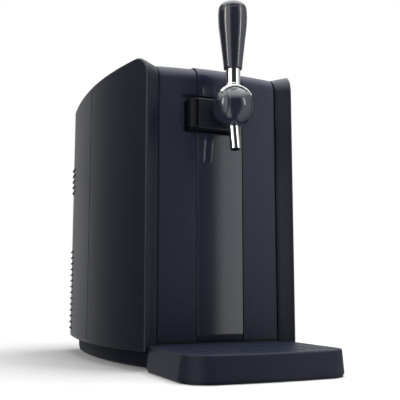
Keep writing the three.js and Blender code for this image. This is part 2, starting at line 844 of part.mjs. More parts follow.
// Slanted cut along the back of the door's hinge edge, which lets the door turn in its opening.
function hingeChamfer() {
  return prismZ([
    [hingeX, doorBack],
    [hingeX, doorBack + overrun],
    [-doorHalfWidth - overrun, doorBack + overrun],
    [-doorHalfWidth - overrun, doorBack - hingeChamferDepth * (1 + overrun / hingeInset)],
  ], 0, bodyHeight + overrun);
}

// Door core behind the skins, with the pocket, the hinge notch and seats for the inner pieces.
const coreMiddleShares = [0.6, 0.3, 0];
const coreEdgeShare = 0.4;
function doorCore() {
  const edge = [fitGap, doorEdgeRadius * coreEdgeShare, doorEdgeRadius].map((inset) => doorHalfWidth - inset);
  const middle = coreMiddleShares.map((share) => share * doorHalfWidth);
  const right = [...edge, ...middle];
  const xs = [...right.map((x) => -x), ...right.slice(0, -1).reverse()];
  const sections = xs.map((x) => {
    const inset = edgeInsetAt(x);
    const top = crownAt(x) - skinThickness - fitGap - inset;
    const face = doorFaceAt(x) + skinThickness + fitGap + inset;
    const radius = doorTopRadius - skinThickness - fitGap - inset;
    return [
      [x, face, doorBottom + fitGap],
      ...arcPoints(face + radius, top - radius, radius, 180, 90, 3).map(([y, z]) => [x, y, z]),
      [x, doorBack, top],
      [x, doorBack, doorBottom + fitGap],
    ];
  });
  const pocket = pocketCutter(pocketFloor);
  const chamfer = hingeChamfer();
  const notch = hingeNotch(bodyHeight);
  const topBore = bar('z', hingePinRadius + fitGap, hingeArmBottom - hingePinLength - fitGap,
    bodyHeight, hingeX, hingeY, 16);
  const lowBore = bar('z', hingePinRadius + fitGap, 0, doorBottom + hingePinLength / 2 + fitGap,
    hingeX, hingeY, 16);
  const magnetSeat = doorMagnetBox(fitGap);
  const displaySeat = displayModuleBox(fitGap, overrun);
  return cut(loft(sections), pocket, chamfer, notch, topBore, lowBore, magnetSeat, displaySeat);
}

// Bar magnet let into the back of the door near its free edge.
function doorMagnetBox(gap) {
  const top = hingeArmBottom + doorMagnetHeight;
  const back = gap > 0 ? doorBack + overrun : doorBack;
  return box(doorMagnetPlaceX - gap, doorBack - doorMagnetDepth - gap, top - doorMagnetHeight - gap,
    doorMagnetPlaceX + doorMagnetWidth + gap, back, top + gap);
}

// Steel plate on the frame that the magnet holds to.
function doorMagnetPlate() {
  const top = hingeArmBottom + doorMagnetHeight;
  const front = doorBack + fitGap;
  return box(doorMagnetPlaceX, front, top - doorMagnetHeight,
    doorMagnetPlaceX + doorMagnetWidth, front + doorMagnetPlateThickness, top);
}

// Display module in the door core behind its window.
function displayModuleBox(gap, ahead) {
  const front = rimDrop - doorBow + skinThickness + fitGap * 2;
  return box(-displayHalfWidth - gap, front - ahead, displayBottom - gap,
    displayHalfWidth + gap, front + displayModuleDepth + gap, displayTop + gap);
}

const skirtTop = doorBottom - fitGap;

// Plan of the keg chamber: straight sides and a round back.
function chamberPlan(half, front) {
  return [[half, front], ...arcPoints(0, chamberCentre, half, 0, 180, 20), [-half, front]];
}

// Front frame: a plate round the chamber mouth with cheeks beside the door and a skirt below it.
function frontFrame() {
  const back = frameFront + frameThickness;
  const bottom = casingBottom + fitGap;
  const plate = box(-frameHalfWidth, frameFront, bottom, frameHalfWidth, back, frameTop);
  const mouth = box(-chamberHalfWidth, frameFront - overrun, chamberFloor,
    chamberHalfWidth, back + overrun, chamberCeiling);
  const cheekInner = rimInnerX + fitGap;
  const cheekFront = rimDrop + rimThickness + fitGap;
  const cheek = prismX([
    [cheekFront, bottom],
    ...arcPoints(rimDrop + doorTopRadius, rimInnerTop - doorTopRadius,
      doorTopRadius - rimThickness - fitGap, 180, 90, earCornerSteps),
    [back, frameTop],
    [back, bottom],
  ], cheekInner, cheekInner + casingWall);
  const skirt = box(-cheekInner - casingWall / 2, skirtFront, bottom,
    cheekInner + casingWall / 2, back, skirtTop);
  const sideTrim = box(rimInnerX - fitGap, 0, 0, widestHalfWidth, cheekFront, bodyHeight);
  const lowBore = bar('z', hingePinRadius + fitGap, bottom + fitGap, doorBottom + overrun,
    hingeX, hingeY, 16);
  const whole = join(plate, cheek, mirrored(cheek), skirt);
  return cut(whole, mouth, sideTrim, mirrored(sideTrim), lowBore);
}

// Gasket on the frame round the mouth, thicker along the hinge side where the door core is chamfered.
function doorGasket() {
  const inner = chamberHalfWidth + fitGap;
  const outer = inner + gasketWidth;
  const low = chamberFloor - fitGap;
  const high = chamberCeiling + fitGap;
  const front = doorBack + fitGap;
  const back = front + gasketThickness;
  const ring = cut(
    box(-outer, front, low - gasketWidth, outer, back, high + gasketWidth),
    box(-inner, front - overrun, low, inner, back + overrun, high));
  const slope = hingeChamferDepth / hingeInset;
  const lipAt = (x) => doorBack - (hingeX - x) * slope + fitGap * 3;
  const wedge = prismZ([
    [-inner, lipAt(-inner)],
    [-inner, back],
    [-outer, back],
    [-outer, lipAt(-outer)],
  ], low, high);
  return join(ring, wedge);
}

// Hinge arm from the frame to the eye over the hinge axis.
function hingeArm() {
  const arm = box(hingeX - hingeArmWidth / 2, hingeY, hingeArmBottom,
    hingeX + hingeArmWidth / 2, frameFront - fitGap, hingeArmTop);
  const eye = bar('z', hingeEyeRadius, hingeArmBottom, hingeArmTop, hingeX, hingeY, 20);
  return cut(join(arm, eye), bar('z', hingePinRadius + fitGap, 0, bodyHeight, hingeX, hingeY, 16));
}

// Keg chamber liner: a thin metal tub on its side, open to the front.
function chamberLiner() {
  const front = frameFront + frameThickness + fitGap;
  const outer = prismZ(chamberPlan(chamberHalfWidth + linerThickness, front),
    chamberFloor - linerThickness, chamberCeiling + linerThickness);
  const inner = prismZ(chamberPlan(chamberHalfWidth, front - overrun), chamberFloor, chamberCeiling);
  const hole = bar('z', couplerRadius / 2 + fitGap, 0, chamberFloor + overrun, 0, chamberCentre, 20);
  return cut(outer, inner, hole);
}

// Foam jacket round the liner, with a window for the cold plate and a hole for the air line.
function foamJacket() {
  const front = frameFront + frameThickness + fitGap;
  const gap = linerThickness + fitGap;
  const outer = prismZ(chamberPlan(chamberHalfWidth + linerThickness + foamThickness, front),
    casingBottom + fitGap, flangeBottom - fitGap);
  const inner = prismZ(chamberPlan(chamberHalfWidth + gap, front - overrun),
    chamberFloor - gap, chamberCeiling + gap);
  const half = coldPlateSize / 2 + fitGap;
  const window = box(-half, chamberCentre, coldPlateHeight - half,
    half, chamberCentre + chamberHalfWidth * 2, coldPlateHeight + half);
  const hole = bar('z', couplerRadius / 2 + fitGap * 2, 0, chamberFloor, 0, chamberCentre, 20);
  return cut(outer, inner, window, hole);
}

// Ring that centres the keg on the chamber floor.
function kegCradle() {
  const low = chamberFloor + fitGap;
  const profile = [
    [cradleRadius - cradleWidth, low],
    [cradleRadius, low],
    [cradleRadius, low + cradleHeight],
    [cradleRadius - cradleWidth / 2, low + cradleHeight],
    [cradleRadius - cradleWidth, low + cradleHeight / 2],
    [cradleRadius - cradleWidth, low],
  ];
  return turned(profile, turnedSegments).translate([0, chamberCentre, 0]);
}

// Nozzle in the chamber floor that feeds air to the keg.
function airCoupler() {
  const low = chamberFloor + fitGap;
  const stem = couplerRadius / 2;
  const profile = [
    [0, casingBottom - fitGap],
    [stem, casingBottom - fitGap],
    [stem, low],
    [couplerRadius, low],
    [couplerRadius, low + couplerHeight / 2],
    [stem, low + couplerHeight],
    [0, low + couplerHeight],
  ];
  return turned(profile, 20).translate([0, chamberCentre, 0]);
}

const coldFront = chamberCentre + chamberHalfWidth + linerThickness + fitGap;
const peltierFront = coldFront + coldPlateThickness + fitGap;
const sinkFront = peltierFront + peltierThickness + fitGap;
const fanFront = sinkFront + sinkBase + sinkFinDepth + fitGap;

// Cold plate through the foam, hollowed to the liner's round back.
function coldPlate() {
  const half = coldPlateSize / 2;
  const block = box(-half, chamberCentre, coldPlateHeight - half,
    half, coldFront + coldPlateThickness, coldPlateHeight + half);
  const round = bar('z', chamberHalfWidth + linerThickness + fitGap, 0, bodyHeight, 0, chamberCentre, 60);
  return cut(block, round);
}

// Thermoelectric module between the cold plate and the heat sink.
function peltierModule() {
  const half = coldPlateSize / 2;
  return box(-half, peltierFront, coldPlateHeight - half,
    half, peltierFront + peltierThickness, coldPlateHeight + half);
}

// Heat sink with upright fins.
function heatSink() {
  const low = coldPlateHeight - sinkHeight / 2;
  const high = coldPlateHeight + sinkHeight / 2;
  const base = box(-sinkWidth / 2, sinkFront, low, sinkWidth / 2, sinkFront + sinkBase, high);
  const pitch = (sinkWidth - sinkFinThickness) / (sinkFinCount - 1);
  const fins = Array.from({ length: sinkFinCount }, (_, place) => {
    const x = -sinkWidth / 2 + place * pitch;
    return box(x, sinkFront + sinkBase / 2, low,
      x + sinkFinThickness, sinkFront + sinkBase + sinkFinDepth, high);
  });
  return join(base, ...fins);
}

// Fan frame: a square case with a round bore, struts and a motor seat at the back.
function fanFrame() {
  const half = fanSize / 2;
  const frame = prismY(roundedRectangle(-half, coldPlateHeight - half, half, coldPlateHeight + half,
    fanStrutWidth, 3), fanFront, fanFront + fanDepth);
  const bore = bar('y', fanBore, fanFront - overrun, fanFront + fanDepth + overrun,
    0, coldPlateHeight, 28);
  const back = fanFront + fanDepth;
  const struts = [0, 1].map((quarter) => {
    const long = fanBore + fanStrutWidth / 2;
    const wide = fanStrutWidth / 2;
    const [dx, dz] = quarter === 0 ? [long, wide] : [wide, long];
    return box(-dx, back - fanStrutDepth, coldPlateHeight - dz, dx, back, coldPlateHeight + dz);
  });
  const seat = bar('y', fanHubRadius, back - fanStrutDepth, back, 0, coldPlateHeight, 24);
  return join(cut(frame, bore), ...struts, seat);
}

// Fan rotor: a hub with twisted blades, turning about the Y axis.
function fanRotor() {
  const front = fanFront + fitGap * 4;
  const back = fanFront + fanDepth - fanStrutDepth - fitGap;
  const hub = bar('y', fanHubRadius, front, back, 0, coldPlateHeight, 20);
  const middle = (front + back) / 2;
  const radii = [fanHubRadius - fanBladeThickness, (fanHubRadius + fanBladeReach) / 2, fanBladeReach];
  const blade = (turn) => loft(radii.map((radius, place) => {
    const twist = THREE.MathUtils.degToRad(fanBladeTwistDegrees * (1 - place / 6));
    const section = [
      [-fanBladeChord / 2, 0],
      [0, fanBladeThickness],
      [fanBladeChord / 2, 0],
      [0, -fanBladeThickness / 2],
    ];
    return section.map(([along, thick]) => {
      const side = along * Math.cos(twist) - thick * Math.sin(twist);
      const depth = along * Math.sin(twist) + thick * Math.cos(twist);
      const point = new THREE.Vector3(side, middle + depth, radius);
      point.applyAxisAngle(new THREE.Vector3(0, 1, 0), turn);
      return [point.x, point.y, point.z + coldPlateHeight];
    });
  }));
  const step = (2 * Math.PI) / fanBladeCount;
  const blades = Array.from({ length: fanBladeCount }, (_, place) => blade(place * step));
  return join(hub, ...blades);
}

const panFloor = footHeight + baseWall;
const supplyBack = bodyDepth - supplyRearGap;

// Power supply box on the base pan's floor.
function powerSupply() {
  return box(-supplyWidth / 2, supplyBack - supplyLength, panFloor + fitGap,
    supplyWidth / 2, supplyBack, panFloor + fitGap + supplyHeight);
}

// Control board on four standoffs over the power supply, with a row of chips.
const chipShares = [-0.6, -0.1, 0.5];
function controlBoard() {
  const low = panFloor + fitGap * 2 + supplyHeight;
  const x = supplyWidth / 2 - boardMargin;
  const front = supplyBack - supplyLength + boardMargin;
  const back = supplyBack - boardMargin;
  const top = low + boardStandoff + boardThickness;
  const board = box(-x, front, low + boardStandoff, x, back, top);
  const inset = boardStandoffRadius + boardThickness;
  const posts = [[-x + inset, front + inset], [x - inset, front + inset],
    [-x + inset, back - inset], [x - inset, back - inset]]
    .map(([px, py]) => bar('z', boardStandoffRadius, low, top - boardThickness / 2, px, py, 12));
  const chips = chipShares.map((share) => box(
    share * x, front + boardMargin, top - boardThickness / 2,
    share * x + boardMargin * 2, front + boardMargin * 3, top + chipHeight));
  return join(board, ...posts, ...chips);
}

// Air pump: a round motor with a square head, lying on the base pan's floor.
function airPump() {
  const centre = panFloor + fitGap + pumpHeadSize / 2;
  const motor = bar('y', pumpRadius, pumpPlaceY, pumpPlaceY + pumpLength, pumpPlaceX, centre, 24);
  const head = box(pumpPlaceX - pumpHeadSize / 2, pumpPlaceY - pumpHeadSize / 2, centre - pumpHeadSize / 2,
    pumpPlaceX + pumpHeadSize / 2, pumpPlaceY + pumpHeadSize / 2, centre + pumpHeadSize / 2);
  return join(motor, head);
}

// Air hose from the pump head along the base pan to the coupler's stem.
function airHose() {
  const height = panFloor + fitGap + hoseRadius + overrun;
  const from = pumpPlaceY - pumpHeadSize / 2 - fitGap;
  const end = casingBottom - fitGap * 2;
  const path = new THREE.CatmullRomCurve3([
    new THREE.Vector3(pumpPlaceX, from, height),
    new THREE.Vector3(pumpPlaceX, from - pumpHeadSize / 2, height),
    new THREE.Vector3(pumpPlaceX / 2, (from + chamberCentre) / 2, height - hoseRadius),
    new THREE.Vector3(-pumpHeadSize / 3, chamberCentre + pumpHeadSize / 6, height - hoseRadius),
    new THREE.Vector3(0, chamberCentre, height + hoseRadius),
    new THREE.Vector3(0, chamberCentre, end),
  ]);
  const ring = new THREE.Shape();
  ring.absarc(0, 0, hoseRadius, 0, Math.PI * 2, false);
  const hole = new THREE.Path();
  hole.absarc(0, 0, hoseBore, 0, Math.PI * 2, true);
  ring.holes.push(hole);
  return toSolid(new THREE.ExtrudeGeometry(ring, {
    steps: 10, extrudePath: path, bevelEnabled: false, curveSegments: 4,
  }));
}

// Power inlet in the rear cover: a shell with three blades in an open socket.
function powerInlet() {
  const halfX = inletWidth / 2;
  const halfZ = inletHeight / 2;
  const outerX = halfX + inletFlange;
  const outerZ = halfZ + inletFlange;
  const proud = bodyDepth + fitGap + louvreLip / 2;
  const shell = box(-halfX, bodyDepth - inletDepth, inletPlaceZ - halfZ,
    halfX, bodyDepth + louvreLip / 2, inletPlaceZ + halfZ);
  const flange = box(-outerX, bodyDepth + fitGap, inletPlaceZ - outerZ,
    outerX, proud, inletPlaceZ + outerZ);
  const socket = box(-halfX + inletFlange, bodyDepth - inletDepth + inletFlange,
    inletPlaceZ - halfZ + inletFlange,
    halfX - inletFlange, bodyDepth + overrun, inletPlaceZ + halfZ - inletFlange);
  const blades = [-1, 0, 1].map((place) => {
    const x = (place * inletWidth) / 4;
    const z = inletPlaceZ + (place === 0 ? inletFlange / 2 : -inletFlange / 2);
    return box(x - inletFlange / 4, bodyDepth - inletDepth + inletFlange / 2, z - inletFlange,
      x + inletFlange / 4, bodyDepth - inletFlange, z + inletFlange);
  });
  return join(cut(join(shell, flange), socket), ...blades);
}

// Bezel of the mains switch: an open frame with a back.
function switchBezel() {
  const halfX = switchWidth / 2;
  const halfZ = switchHeight / 2;
  const proud = bodyDepth + louvreLip / 2;
  const housing = box(-halfX, bodyDepth - switchDepth, switchPlaceZ - halfZ,
    halfX, proud, switchPlaceZ + halfZ);
  const flange = box(-halfX - switchFrame, bodyDepth + fitGap, switchPlaceZ - halfZ - switchFrame,
    halfX + switchFrame, proud, switchPlaceZ + halfZ + switchFrame);
  const well = box(-halfX + switchFrame, bodyDepth - switchDepth + switchFrame,
    switchPlaceZ - halfZ + switchFrame,
    halfX - switchFrame, bodyDepth + overrun, switchPlaceZ + halfZ - switchFrame);
  return cut(join(housing, flange), well);
}

const rockerPivotY = bodyDepth - switchDepth / 2;

// Rocker of the mains switch: a shallow vee that rests tipped one way.
function powerSwitch() {
  const halfX = switchWidth / 2 - switchFrame - fitGap;
  const halfZ = switchHeight / 2 - switchFrame - fitGap * 4;
  const face = bodyDepth - rockerPivotY;
  const ends = face - halfZ * Math.tan(THREE.MathUtils.degToRad(rockerTiltDegrees));
  const profile = [
    [ends, halfZ],
    [ends - fitGap, 0],
    [ends, -halfZ],
    [0, -halfZ + switchFrame],
    [-switchFrame, 0],
    [0, halfZ - switchFrame],
  ];
  const lean = THREE.MathUtils.degToRad(rockerTiltDegrees / 2);
  const turnedProfile = profile.map(([y, z]) => [
    rockerPivotY + y * Math.cos(lean) - z * Math.sin(lean),
    switchPlaceZ + y * Math.sin(lean) + z * Math.cos(lean),
  ]);
  return prismX(turnedProfile, -halfX, halfX);
}

const blockFront = rimDrop - blockReach;

// Tap block: the fixed housing that stands out of the door's pocket, curved on its left side, with
// an upright groove where the curve meets the flat front.
function tapBlock() {
  const back = pocketFloor - fitGap;
  const curve = arcPoints(blockLeft + blockCurveWidth, blockFront + blockCorner, blockCorner,
    210, 270, 4);
  const plan = [
    [blockLeft, back],
    [blockLeft, blockFront + blockCorner + blockGrooveMargin],
    ...curve,
    [blockRight - blockRightCorner, blockFront],
    [blockRight, blockFront + blockRightCorner],
    [blockRight, back],
  ];
  const soft = blockSoftening;
  const levels = [[blockBottom, soft], [blockBottom + soft, 0], [blockTop - soft, 0], [blockTop, soft]];
  const middle = (blockLeft + blockRight) / 2;
  const half = (blockRight - blockLeft) / 2;
  const body = loft(levels.map(([z, inset]) => plan.map(([x, y]) => [
    middle + (x - middle) * (1 - inset / half),
    y === back ? y : y + inset,
    z,
  ])));
  const grooveX = blockLeft + blockGrooveInset;
  const groove = box(grooveX - blockGrooveWidth / 2, blockFront - overrun, blockBottom + blockGrooveMargin,
    grooveX + blockGrooveWidth / 2, blockFront + blockGrooveDepth, blockTop - blockGrooveMargin);
  return cut(body, groove);
}

const tapY = rimDrop - tapReach;

// Ball about the tap's centre, in the tap's own frame.
function ball(radius, segments = turnedSegments) {
  const rings = segments / 2;
  const half = Array.from({ length: rings + 1 }, (_, step) => {
    const angle = (step / rings) * Math.PI;
    return [step === 0 || step === rings ? 0 : radius * Math.sin(angle), -radius * Math.cos(angle)];
  });
  return turned(half, segments);
}

// Axis of the spout in the tap's frame: a point and a unit direction pointing down and forward.
function spoutAxis() {
  const lean = THREE.MathUtils.degToRad(spoutLeanDegrees);
  return {
    origin: new THREE.Vector3(0, -spoutSetForward, 0),
    direction: new THREE.Vector3(0, -Math.sin(lean), -Math.cos(lean)),
  };
}

// Round bar along the spout's axis between two distances.
function spoutBar(radius, from, to, segments = 24) {
  const { origin, direction } = spoutAxis();
  const geometry = new THREE.CylinderGeometry(radius, radius, to - from, segments);
  geometry.translate(0, -(from + to) / 2, 0);
  geometry.rotateX(Math.PI / 2 - Math.atan2(-direction.y, -direction.z));
  geometry.translate(origin.x, origin.y, origin.z);
  return toSolid(geometry);
}

// Spout: a plain tube along its leaning axis.
function spoutTube() {
  return cut(spoutBar(spoutRadius, spoutTopDrop, spoutBottomDrop),
    spoutBar(spoutBore, spoutTopDrop - overrun, spoutBottomDrop + overrun));
}

// Fixed middle of the tap: the ball between the side caps, its stem and the spout's socket.
function tapBody() {
  const reach = tapBodyRadius * 2;
  const back = blockFront - fitGap - tapY;
  const slab = box(-tapSeam, -reach, -reach, tapSeam, back, reach);
  const stem = bar('y', tapStemRadius, 0, back, 0, 0, turnedSegments);
  const pivotBore = bar('x', pivotRadius + fitGap, -reach, reach, 0, 0, 16);
  const socket = spoutBar(spoutRadius + fitGap, spoutTopDrop - fitGap, reach);
  return cut(join(ball(tapBodyRadius), stem).intersect(slab), pivotBore, socket);
}

// Side cap of the tap, turning with the lever, bored for the pivot pin.
function leverCap() {
  const side = box(tapSeam + fitGap, -tapCapRadius * 2, -tapCapRadius * 2,
    tapCapRadius * 2, tapCapRadius * 2, tapCapRadius * 2);
  const bore = bar('x', pivotRadius + fitGap, 0, pivotReach + fitGap, 0, 0, 16);
  return cut(ball(tapCapRadius).intersect(side), bore);
}

// Chrome yoke: a strap over the ball, the neck on top of it and the stub for the handle.
function leverYoke() {
  const inner = tapCapRadius + fitGap;
  const outer = inner + yokeThickness;
  const reach = outer * 2;
  const slab = box(-reach, -yokeFront, -reach, reach, yokeBack, reach);
  const sweep = THREE.MathUtils.degToRad(yokeSweepDegrees);
  const fan = prismY([
    [0, 0],
    [reach * Math.sin(sweep), reach * Math.cos(sweep)],
    [reach, reach],
    [0, reach * 2],
    [-reach, reach],
    [-reach * Math.sin(sweep), reach * Math.cos(sweep)],
  ], -reach, reach);
  const strap = ball(outer, strapSegments).intersect(slab).intersect(fan);
  const neck = bar('z', neckRadius, 0, neckTop, 0, 0, turnedSegments);
  const stub = bar('z', stubRadius, 0, neckTop + stubHeight, 0, 0, 20);
  return cut(join(strap, neck, stub), ball(inner, strapSegments));
}

// Height and swell of the grip's outline as shares of its height and of its swell.
const gripShares = [
  [0.02, 0.02],
  [0.095, 0.116],
  [0.183, 0.246],
  [0.27, 0.377],
  [0.357, 0.507],
  [0.446, 0.638],
  [0.533, 0.783],
  [0.621, 0.913],
  [0.751, 1],
  [0.84, 0.986],
];

// Handle grip: a turned club shape, bored for the stub, with a seat for its cap.
function handleGrip() {
  const swell = handleMaxRadius - handleFootRadius;
  const capSeat = handleHeight - handleCapHeight - fitGap;
  const outside = gripShares.map(([up, share]) => [handleFootRadius + share * swell, up * handleHeight]);
  const bore = stubRadius + fitGap;
  const boreTop = stubHeight + fitGap * 2 + magnetHeight;
  const seat = capSeat - handleSpigotLength - fitGap;
  const profile = [
    [bore, fitGap],
    [handleFootRadius - blockSoftening, fitGap],
    ...outside,
    [handleCapRadius, capSeat],
    [handleSpigotRadius + fitGap, capSeat],
    [handleSpigotRadius + fitGap, seat],
    [0, seat],
    [0, boreTop],
    [bore, boreTop],
    [bore, fitGap],
  ];
  return turned(profile, turnedSegments).translate([0, 0, neckTop]);
}

// Domed cap in the top of the handle.
const domeShares = [[0.98, 0.2], [0.9, 0.42], [0.76, 0.63], [0.55, 0.82], [0.3, 0.95]];
function handleCap() {
  const base = handleHeight - handleCapHeight;
  const profile = [
    [0, base - handleSpigotLength],
    [handleSpigotRadius, base - handleSpigotLength],
    [handleSpigotRadius, base],
    [handleCapRadius, base],
    ...domeShares.map(([across, up]) => [across * handleCapRadius, base + up * handleCapHeight]),
    [0, handleHeight],
  ];
  return turned(profile, turnedSegments).translate([0, 0, neckTop]);
}

// Disc magnet in the handle above the stub.
function handleMagnet() {
  const low = neckTop + stubHeight + fitGap;
  return bar('z', stubRadius, low, low + magnetHeight, 0, 0, 20);
}

// Plan of the drip tray at a level: bowed front, large round corners, inset from the foot line
// and, where it doesn't reach the casing, from its rear edge.
const trayBowShares = [[0, 0], [0.4, 0.224], [0.75, 0.788]];
function trayPlan(inset, rearInset = 0) {
  const half = trayHalfWidth - inset;
  const radius = trayCorner - inset;
  const front = -trayReach + inset;
  const corner = arcPoints(half - radius, front + radius + trayBow, radius, -78, 0, 6);
  const bow = trayBowShares.map(([across, back]) => [across * corner[0][0], front + back * trayBow]);
  const right = [...bow, ...corner, [half, -trayRearGap - rearInset]];
  const left = right.slice(1).map(([x, y]) => [-x, y]).reverse();
  return [...right, ...left];
}

// Tub of the drip tray, drafted outward to its foot, with a ledge for the grid.
function trayTub() {
  const levels = [
    [0, trayFootInset],
    [trayFootHeight - fitGap, trayFootInset],
    [trayFootHeight, 0],
    [trayHeight - trayWall / 2, trayDraft],
    [trayHeight, trayDraft + trayWall / 2],
  ];
  const body = loft(levels.map(([z, inset]) => trayPlan(inset).map(([x, y]) => [x, y, z])));
  const tongue = box(-trayTongueHalfWidth, -trayRearGap - trayWall, trayFootHeight,
    trayTongueHalfWidth, skirtFront - fitGap, trayHeight);
  const seatInset = trayDraft + trayMargin;
  const seatBottom = trayHeight - gridThickness - fitGap;
  const seat = prismZ(trayPlan(seatInset, trayRearMargin), seatBottom, trayHeight + overrun);
  const basin = prismZ(trayPlan(seatInset + trayLedge, trayRearMargin + trayLedge),
    trayFootHeight + trayWall, trayHeight + overrun);
  return cut(join(body, tongue), seat, basin);
}

// Drip grid: a plate with rows of short slots that lies in the tray's seat.
const gridMiddleShare = 0.52;
function dripGrid() {
  const low = trayHeight - gridThickness;
  const plan = trayPlan(trayDraft + trayMargin + fitGap, trayRearMargin + fitGap);
  const plate = prismZ(plan, low, trayHeight - fitGap);
  const middle = -trayReach * gridMiddleShare;
  const slots = [];
  for (let row = 0; row < gridSlotRows; row += 1) {
    for (let column = 0; column < gridSlotColumns; column += 1) {
      const x = (column - (gridSlotColumns - 1) / 2) * gridSlotPitchX;
      const y = middle + (row - (gridSlotRows - 1) / 2) * gridSlotPitchY;
      slots.push(box(x - gridSlotLength / 2, y - gridSlotWidth / 2, low - overrun,
        x + gridSlotLength / 2, y + gridSlotWidth / 2, trayHeight + overrun));
    }
  }
  return cut(plate, ...slots);
}

// Assembly. The casing's front edges lie at zero depth in the dispenser group, which is moved so
// that the whole, from the tray's front to the louvres at the back, is centred on the origin.
const dispenser = new THREE.Group();
dispenser.position.y = (trayReach - bodyDepth - louvreLip) / 2;

const casing = new THREE.Group();
const shell = sideShell();
addPiece(casing, 'side_shell_right', shell, navyPlastic);
addPiece(casing, 'side_shell_left', mirrored(shell), navyPlastic);
addPiece(casing, 'rear_cover', rearCover(), navyPlastic);
addPiece(casing, 'top_cover', topCover(), navyPlastic);
addPiece(casing, 'base_pan', basePan(), blackPlastic);
const footBack = bodyDepth - rearCornerRadius - footInset / 2;
const footSide = frontHalfWidth - footInset - plinthInset;
addPiece(casing, 'foot_front_left', foot(-footSide, plinthFront + footInset), rubberFinish);
addPiece(casing, 'foot_front_right', foot(footSide, plinthFront + footInset), rubberFinish);
addPiece(casing, 'foot_rear_left', foot(-footSide, footBack), rubberFinish);
addPiece(casing, 'foot_rear_right', foot(footSide, footBack), rubberFinish);
addPiece(casing, 'front_frame', frontFrame(), navyPlastic);
addPiece(casing, 'door_gasket', doorGasket(), rubberFinish);
addPiece(casing, 'hinge_arm', hingeArm(), metalFinish);
addPiece(casing, 'hinge_pin_top', bar('z', hingePinRadius, hingeArmBottom - hingePinLength, hingeArmTop,
  hingeX, hingeY, 16), metalFinish);
addPiece(casing, 'hinge_pin_bottom', bar('z', hingePinRadius, casingBottom + fitGap * 3,
  doorBottom + hingePinLength / 2, hingeX, hingeY, 16), metalFinish);
addPiece(casing, 'latch_plate', doorMagnetPlate(), metalFinish);
dispenser.add(casing);

const chamber = new THREE.Group();
addPiece(chamber, 'chamber_liner', chamberLiner(), metalFinish);
addPiece(chamber, 'foam_jacket', foamJacket(), foamFinish);
addPiece(chamber, 'keg_cradle', kegCradle(), blackPlastic);
addPiece(chamber, 'air_coupler', airCoupler(), metalFinish);
dispenser.add(chamber);

const cooling = new THREE.Group();
addPiece(cooling, 'cold_plate', coldPlate(), metalFinish);
addPiece(cooling, 'peltier_module', peltierModule(), foamFinish);
addPiece(cooling, 'heat_sink', heatSink(), metalFinish);
addPiece(cooling, 'fan_frame', fanFrame(), blackPlastic);
addPiece(cooling, 'fan_rotor', fanRotor(), blackPlastic);
dispenser.add(cooling);

const services = new THREE.Group();
addPiece(services, 'power_supply', powerSupply(), metalFinish);
addPiece(services, 'control_board', controlBoard(), boardFinish);
addPiece(services, 'air_pump', airPump(), blackPlastic);
addPiece(services, 'air_hose', airHose(), rubberFinish);
addPiece(services, 'power_inlet', powerInlet(), blackPlastic);
addPiece(services, 'switch_bezel', switchBezel(), blackPlastic);
addPiece(services, 'power_switch', powerSwitch(), blackPlastic);
dispenser.add(services);

const door = new THREE.Group();
const wing = doorWing();
const pocketHole = pocketCutter(doorBack + overrun);
addPiece(door, 'door_wing_right', cut(wing, pocketHole), navyPlastic);
addPiece(door, 'door_wing_left', cut(mirrored(wing), pocketHole, hingeChamfer(),
  hingeNotch(hingeArmTop + fitGap)), navyPlastic);
addPiece(door, 'column_panel', columnPanel(), glossNavy);
addPiece(door, 'column_crown', columnCrown(), glossNavy);
addPiece(door, 'display_window', displayShape(0, 0), glossNavy);
addPiece(door, 'door_core', doorCore(), blackPlastic);
addPiece(door, 'display_module', displayModuleBox(0, 0), boardFinish);
addPiece(door, 'door_magnet', doorMagnetBox(0), metalFinish);
addPiece(door, 'tap_block', tapBlock(), blackPlastic);
dispenser.add(door);

const tap = new THREE.Group();
tap.position.set(0, tapY, tapHeight);
addPiece(tap, 'tap_body', tapBody(), glossNavy);
addPiece(tap, 'pivot_pin', bar('x', pivotRadius, -pivotReach, pivotReach, 0, 0, 16), metalFinish);
addPiece(tap, 'spout', spoutTube(), chromeFinish);
const cap = leverCap();
addPiece(tap, 'lever_cap_right', cap, glossNavy);
addPiece(tap, 'lever_cap_left', mirrored(cap), glossNavy);
addPiece(tap, 'lever_yoke', leverYoke(), chromeFinish);
addPiece(tap, 'handle_grip', handleGrip(), glossNavy);
addPiece(tap, 'handle_cap', handleCap(), glossNavy);
addPiece(tap, 'handle_magnet', handleMagnet(), metalFinish);
door.add(tap);

const tray = new THREE.Group();
addPiece(tray, 'tray_tub', trayTub(), navyPlastic);
addPiece(tray, 'drip_grid', dripGrid(), navyPlastic);
dispenser.add(tray);

export default dispenser;
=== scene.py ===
# Looks of the countertop beer dispenser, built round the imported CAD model.
# Lengths in the shape code are millimetres. Their depths count from the casing's front edges, and
# place() puts them into the row frame, which is in metres.

import json
import math

import bmesh
import bpy
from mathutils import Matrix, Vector


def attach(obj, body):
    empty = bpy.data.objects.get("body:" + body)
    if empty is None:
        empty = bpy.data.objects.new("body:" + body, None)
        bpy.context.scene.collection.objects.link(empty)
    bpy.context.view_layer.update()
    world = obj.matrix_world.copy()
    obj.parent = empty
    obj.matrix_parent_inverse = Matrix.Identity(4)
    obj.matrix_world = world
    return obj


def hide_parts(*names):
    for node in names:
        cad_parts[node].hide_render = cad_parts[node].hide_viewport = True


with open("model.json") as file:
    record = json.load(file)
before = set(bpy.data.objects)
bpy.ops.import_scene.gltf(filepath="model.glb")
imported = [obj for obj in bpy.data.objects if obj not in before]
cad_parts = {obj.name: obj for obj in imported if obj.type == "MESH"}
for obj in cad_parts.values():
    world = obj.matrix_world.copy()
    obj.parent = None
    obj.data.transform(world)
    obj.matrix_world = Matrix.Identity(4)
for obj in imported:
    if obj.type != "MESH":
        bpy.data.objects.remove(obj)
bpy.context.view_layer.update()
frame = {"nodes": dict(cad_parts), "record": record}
nodes = frame["nodes"]

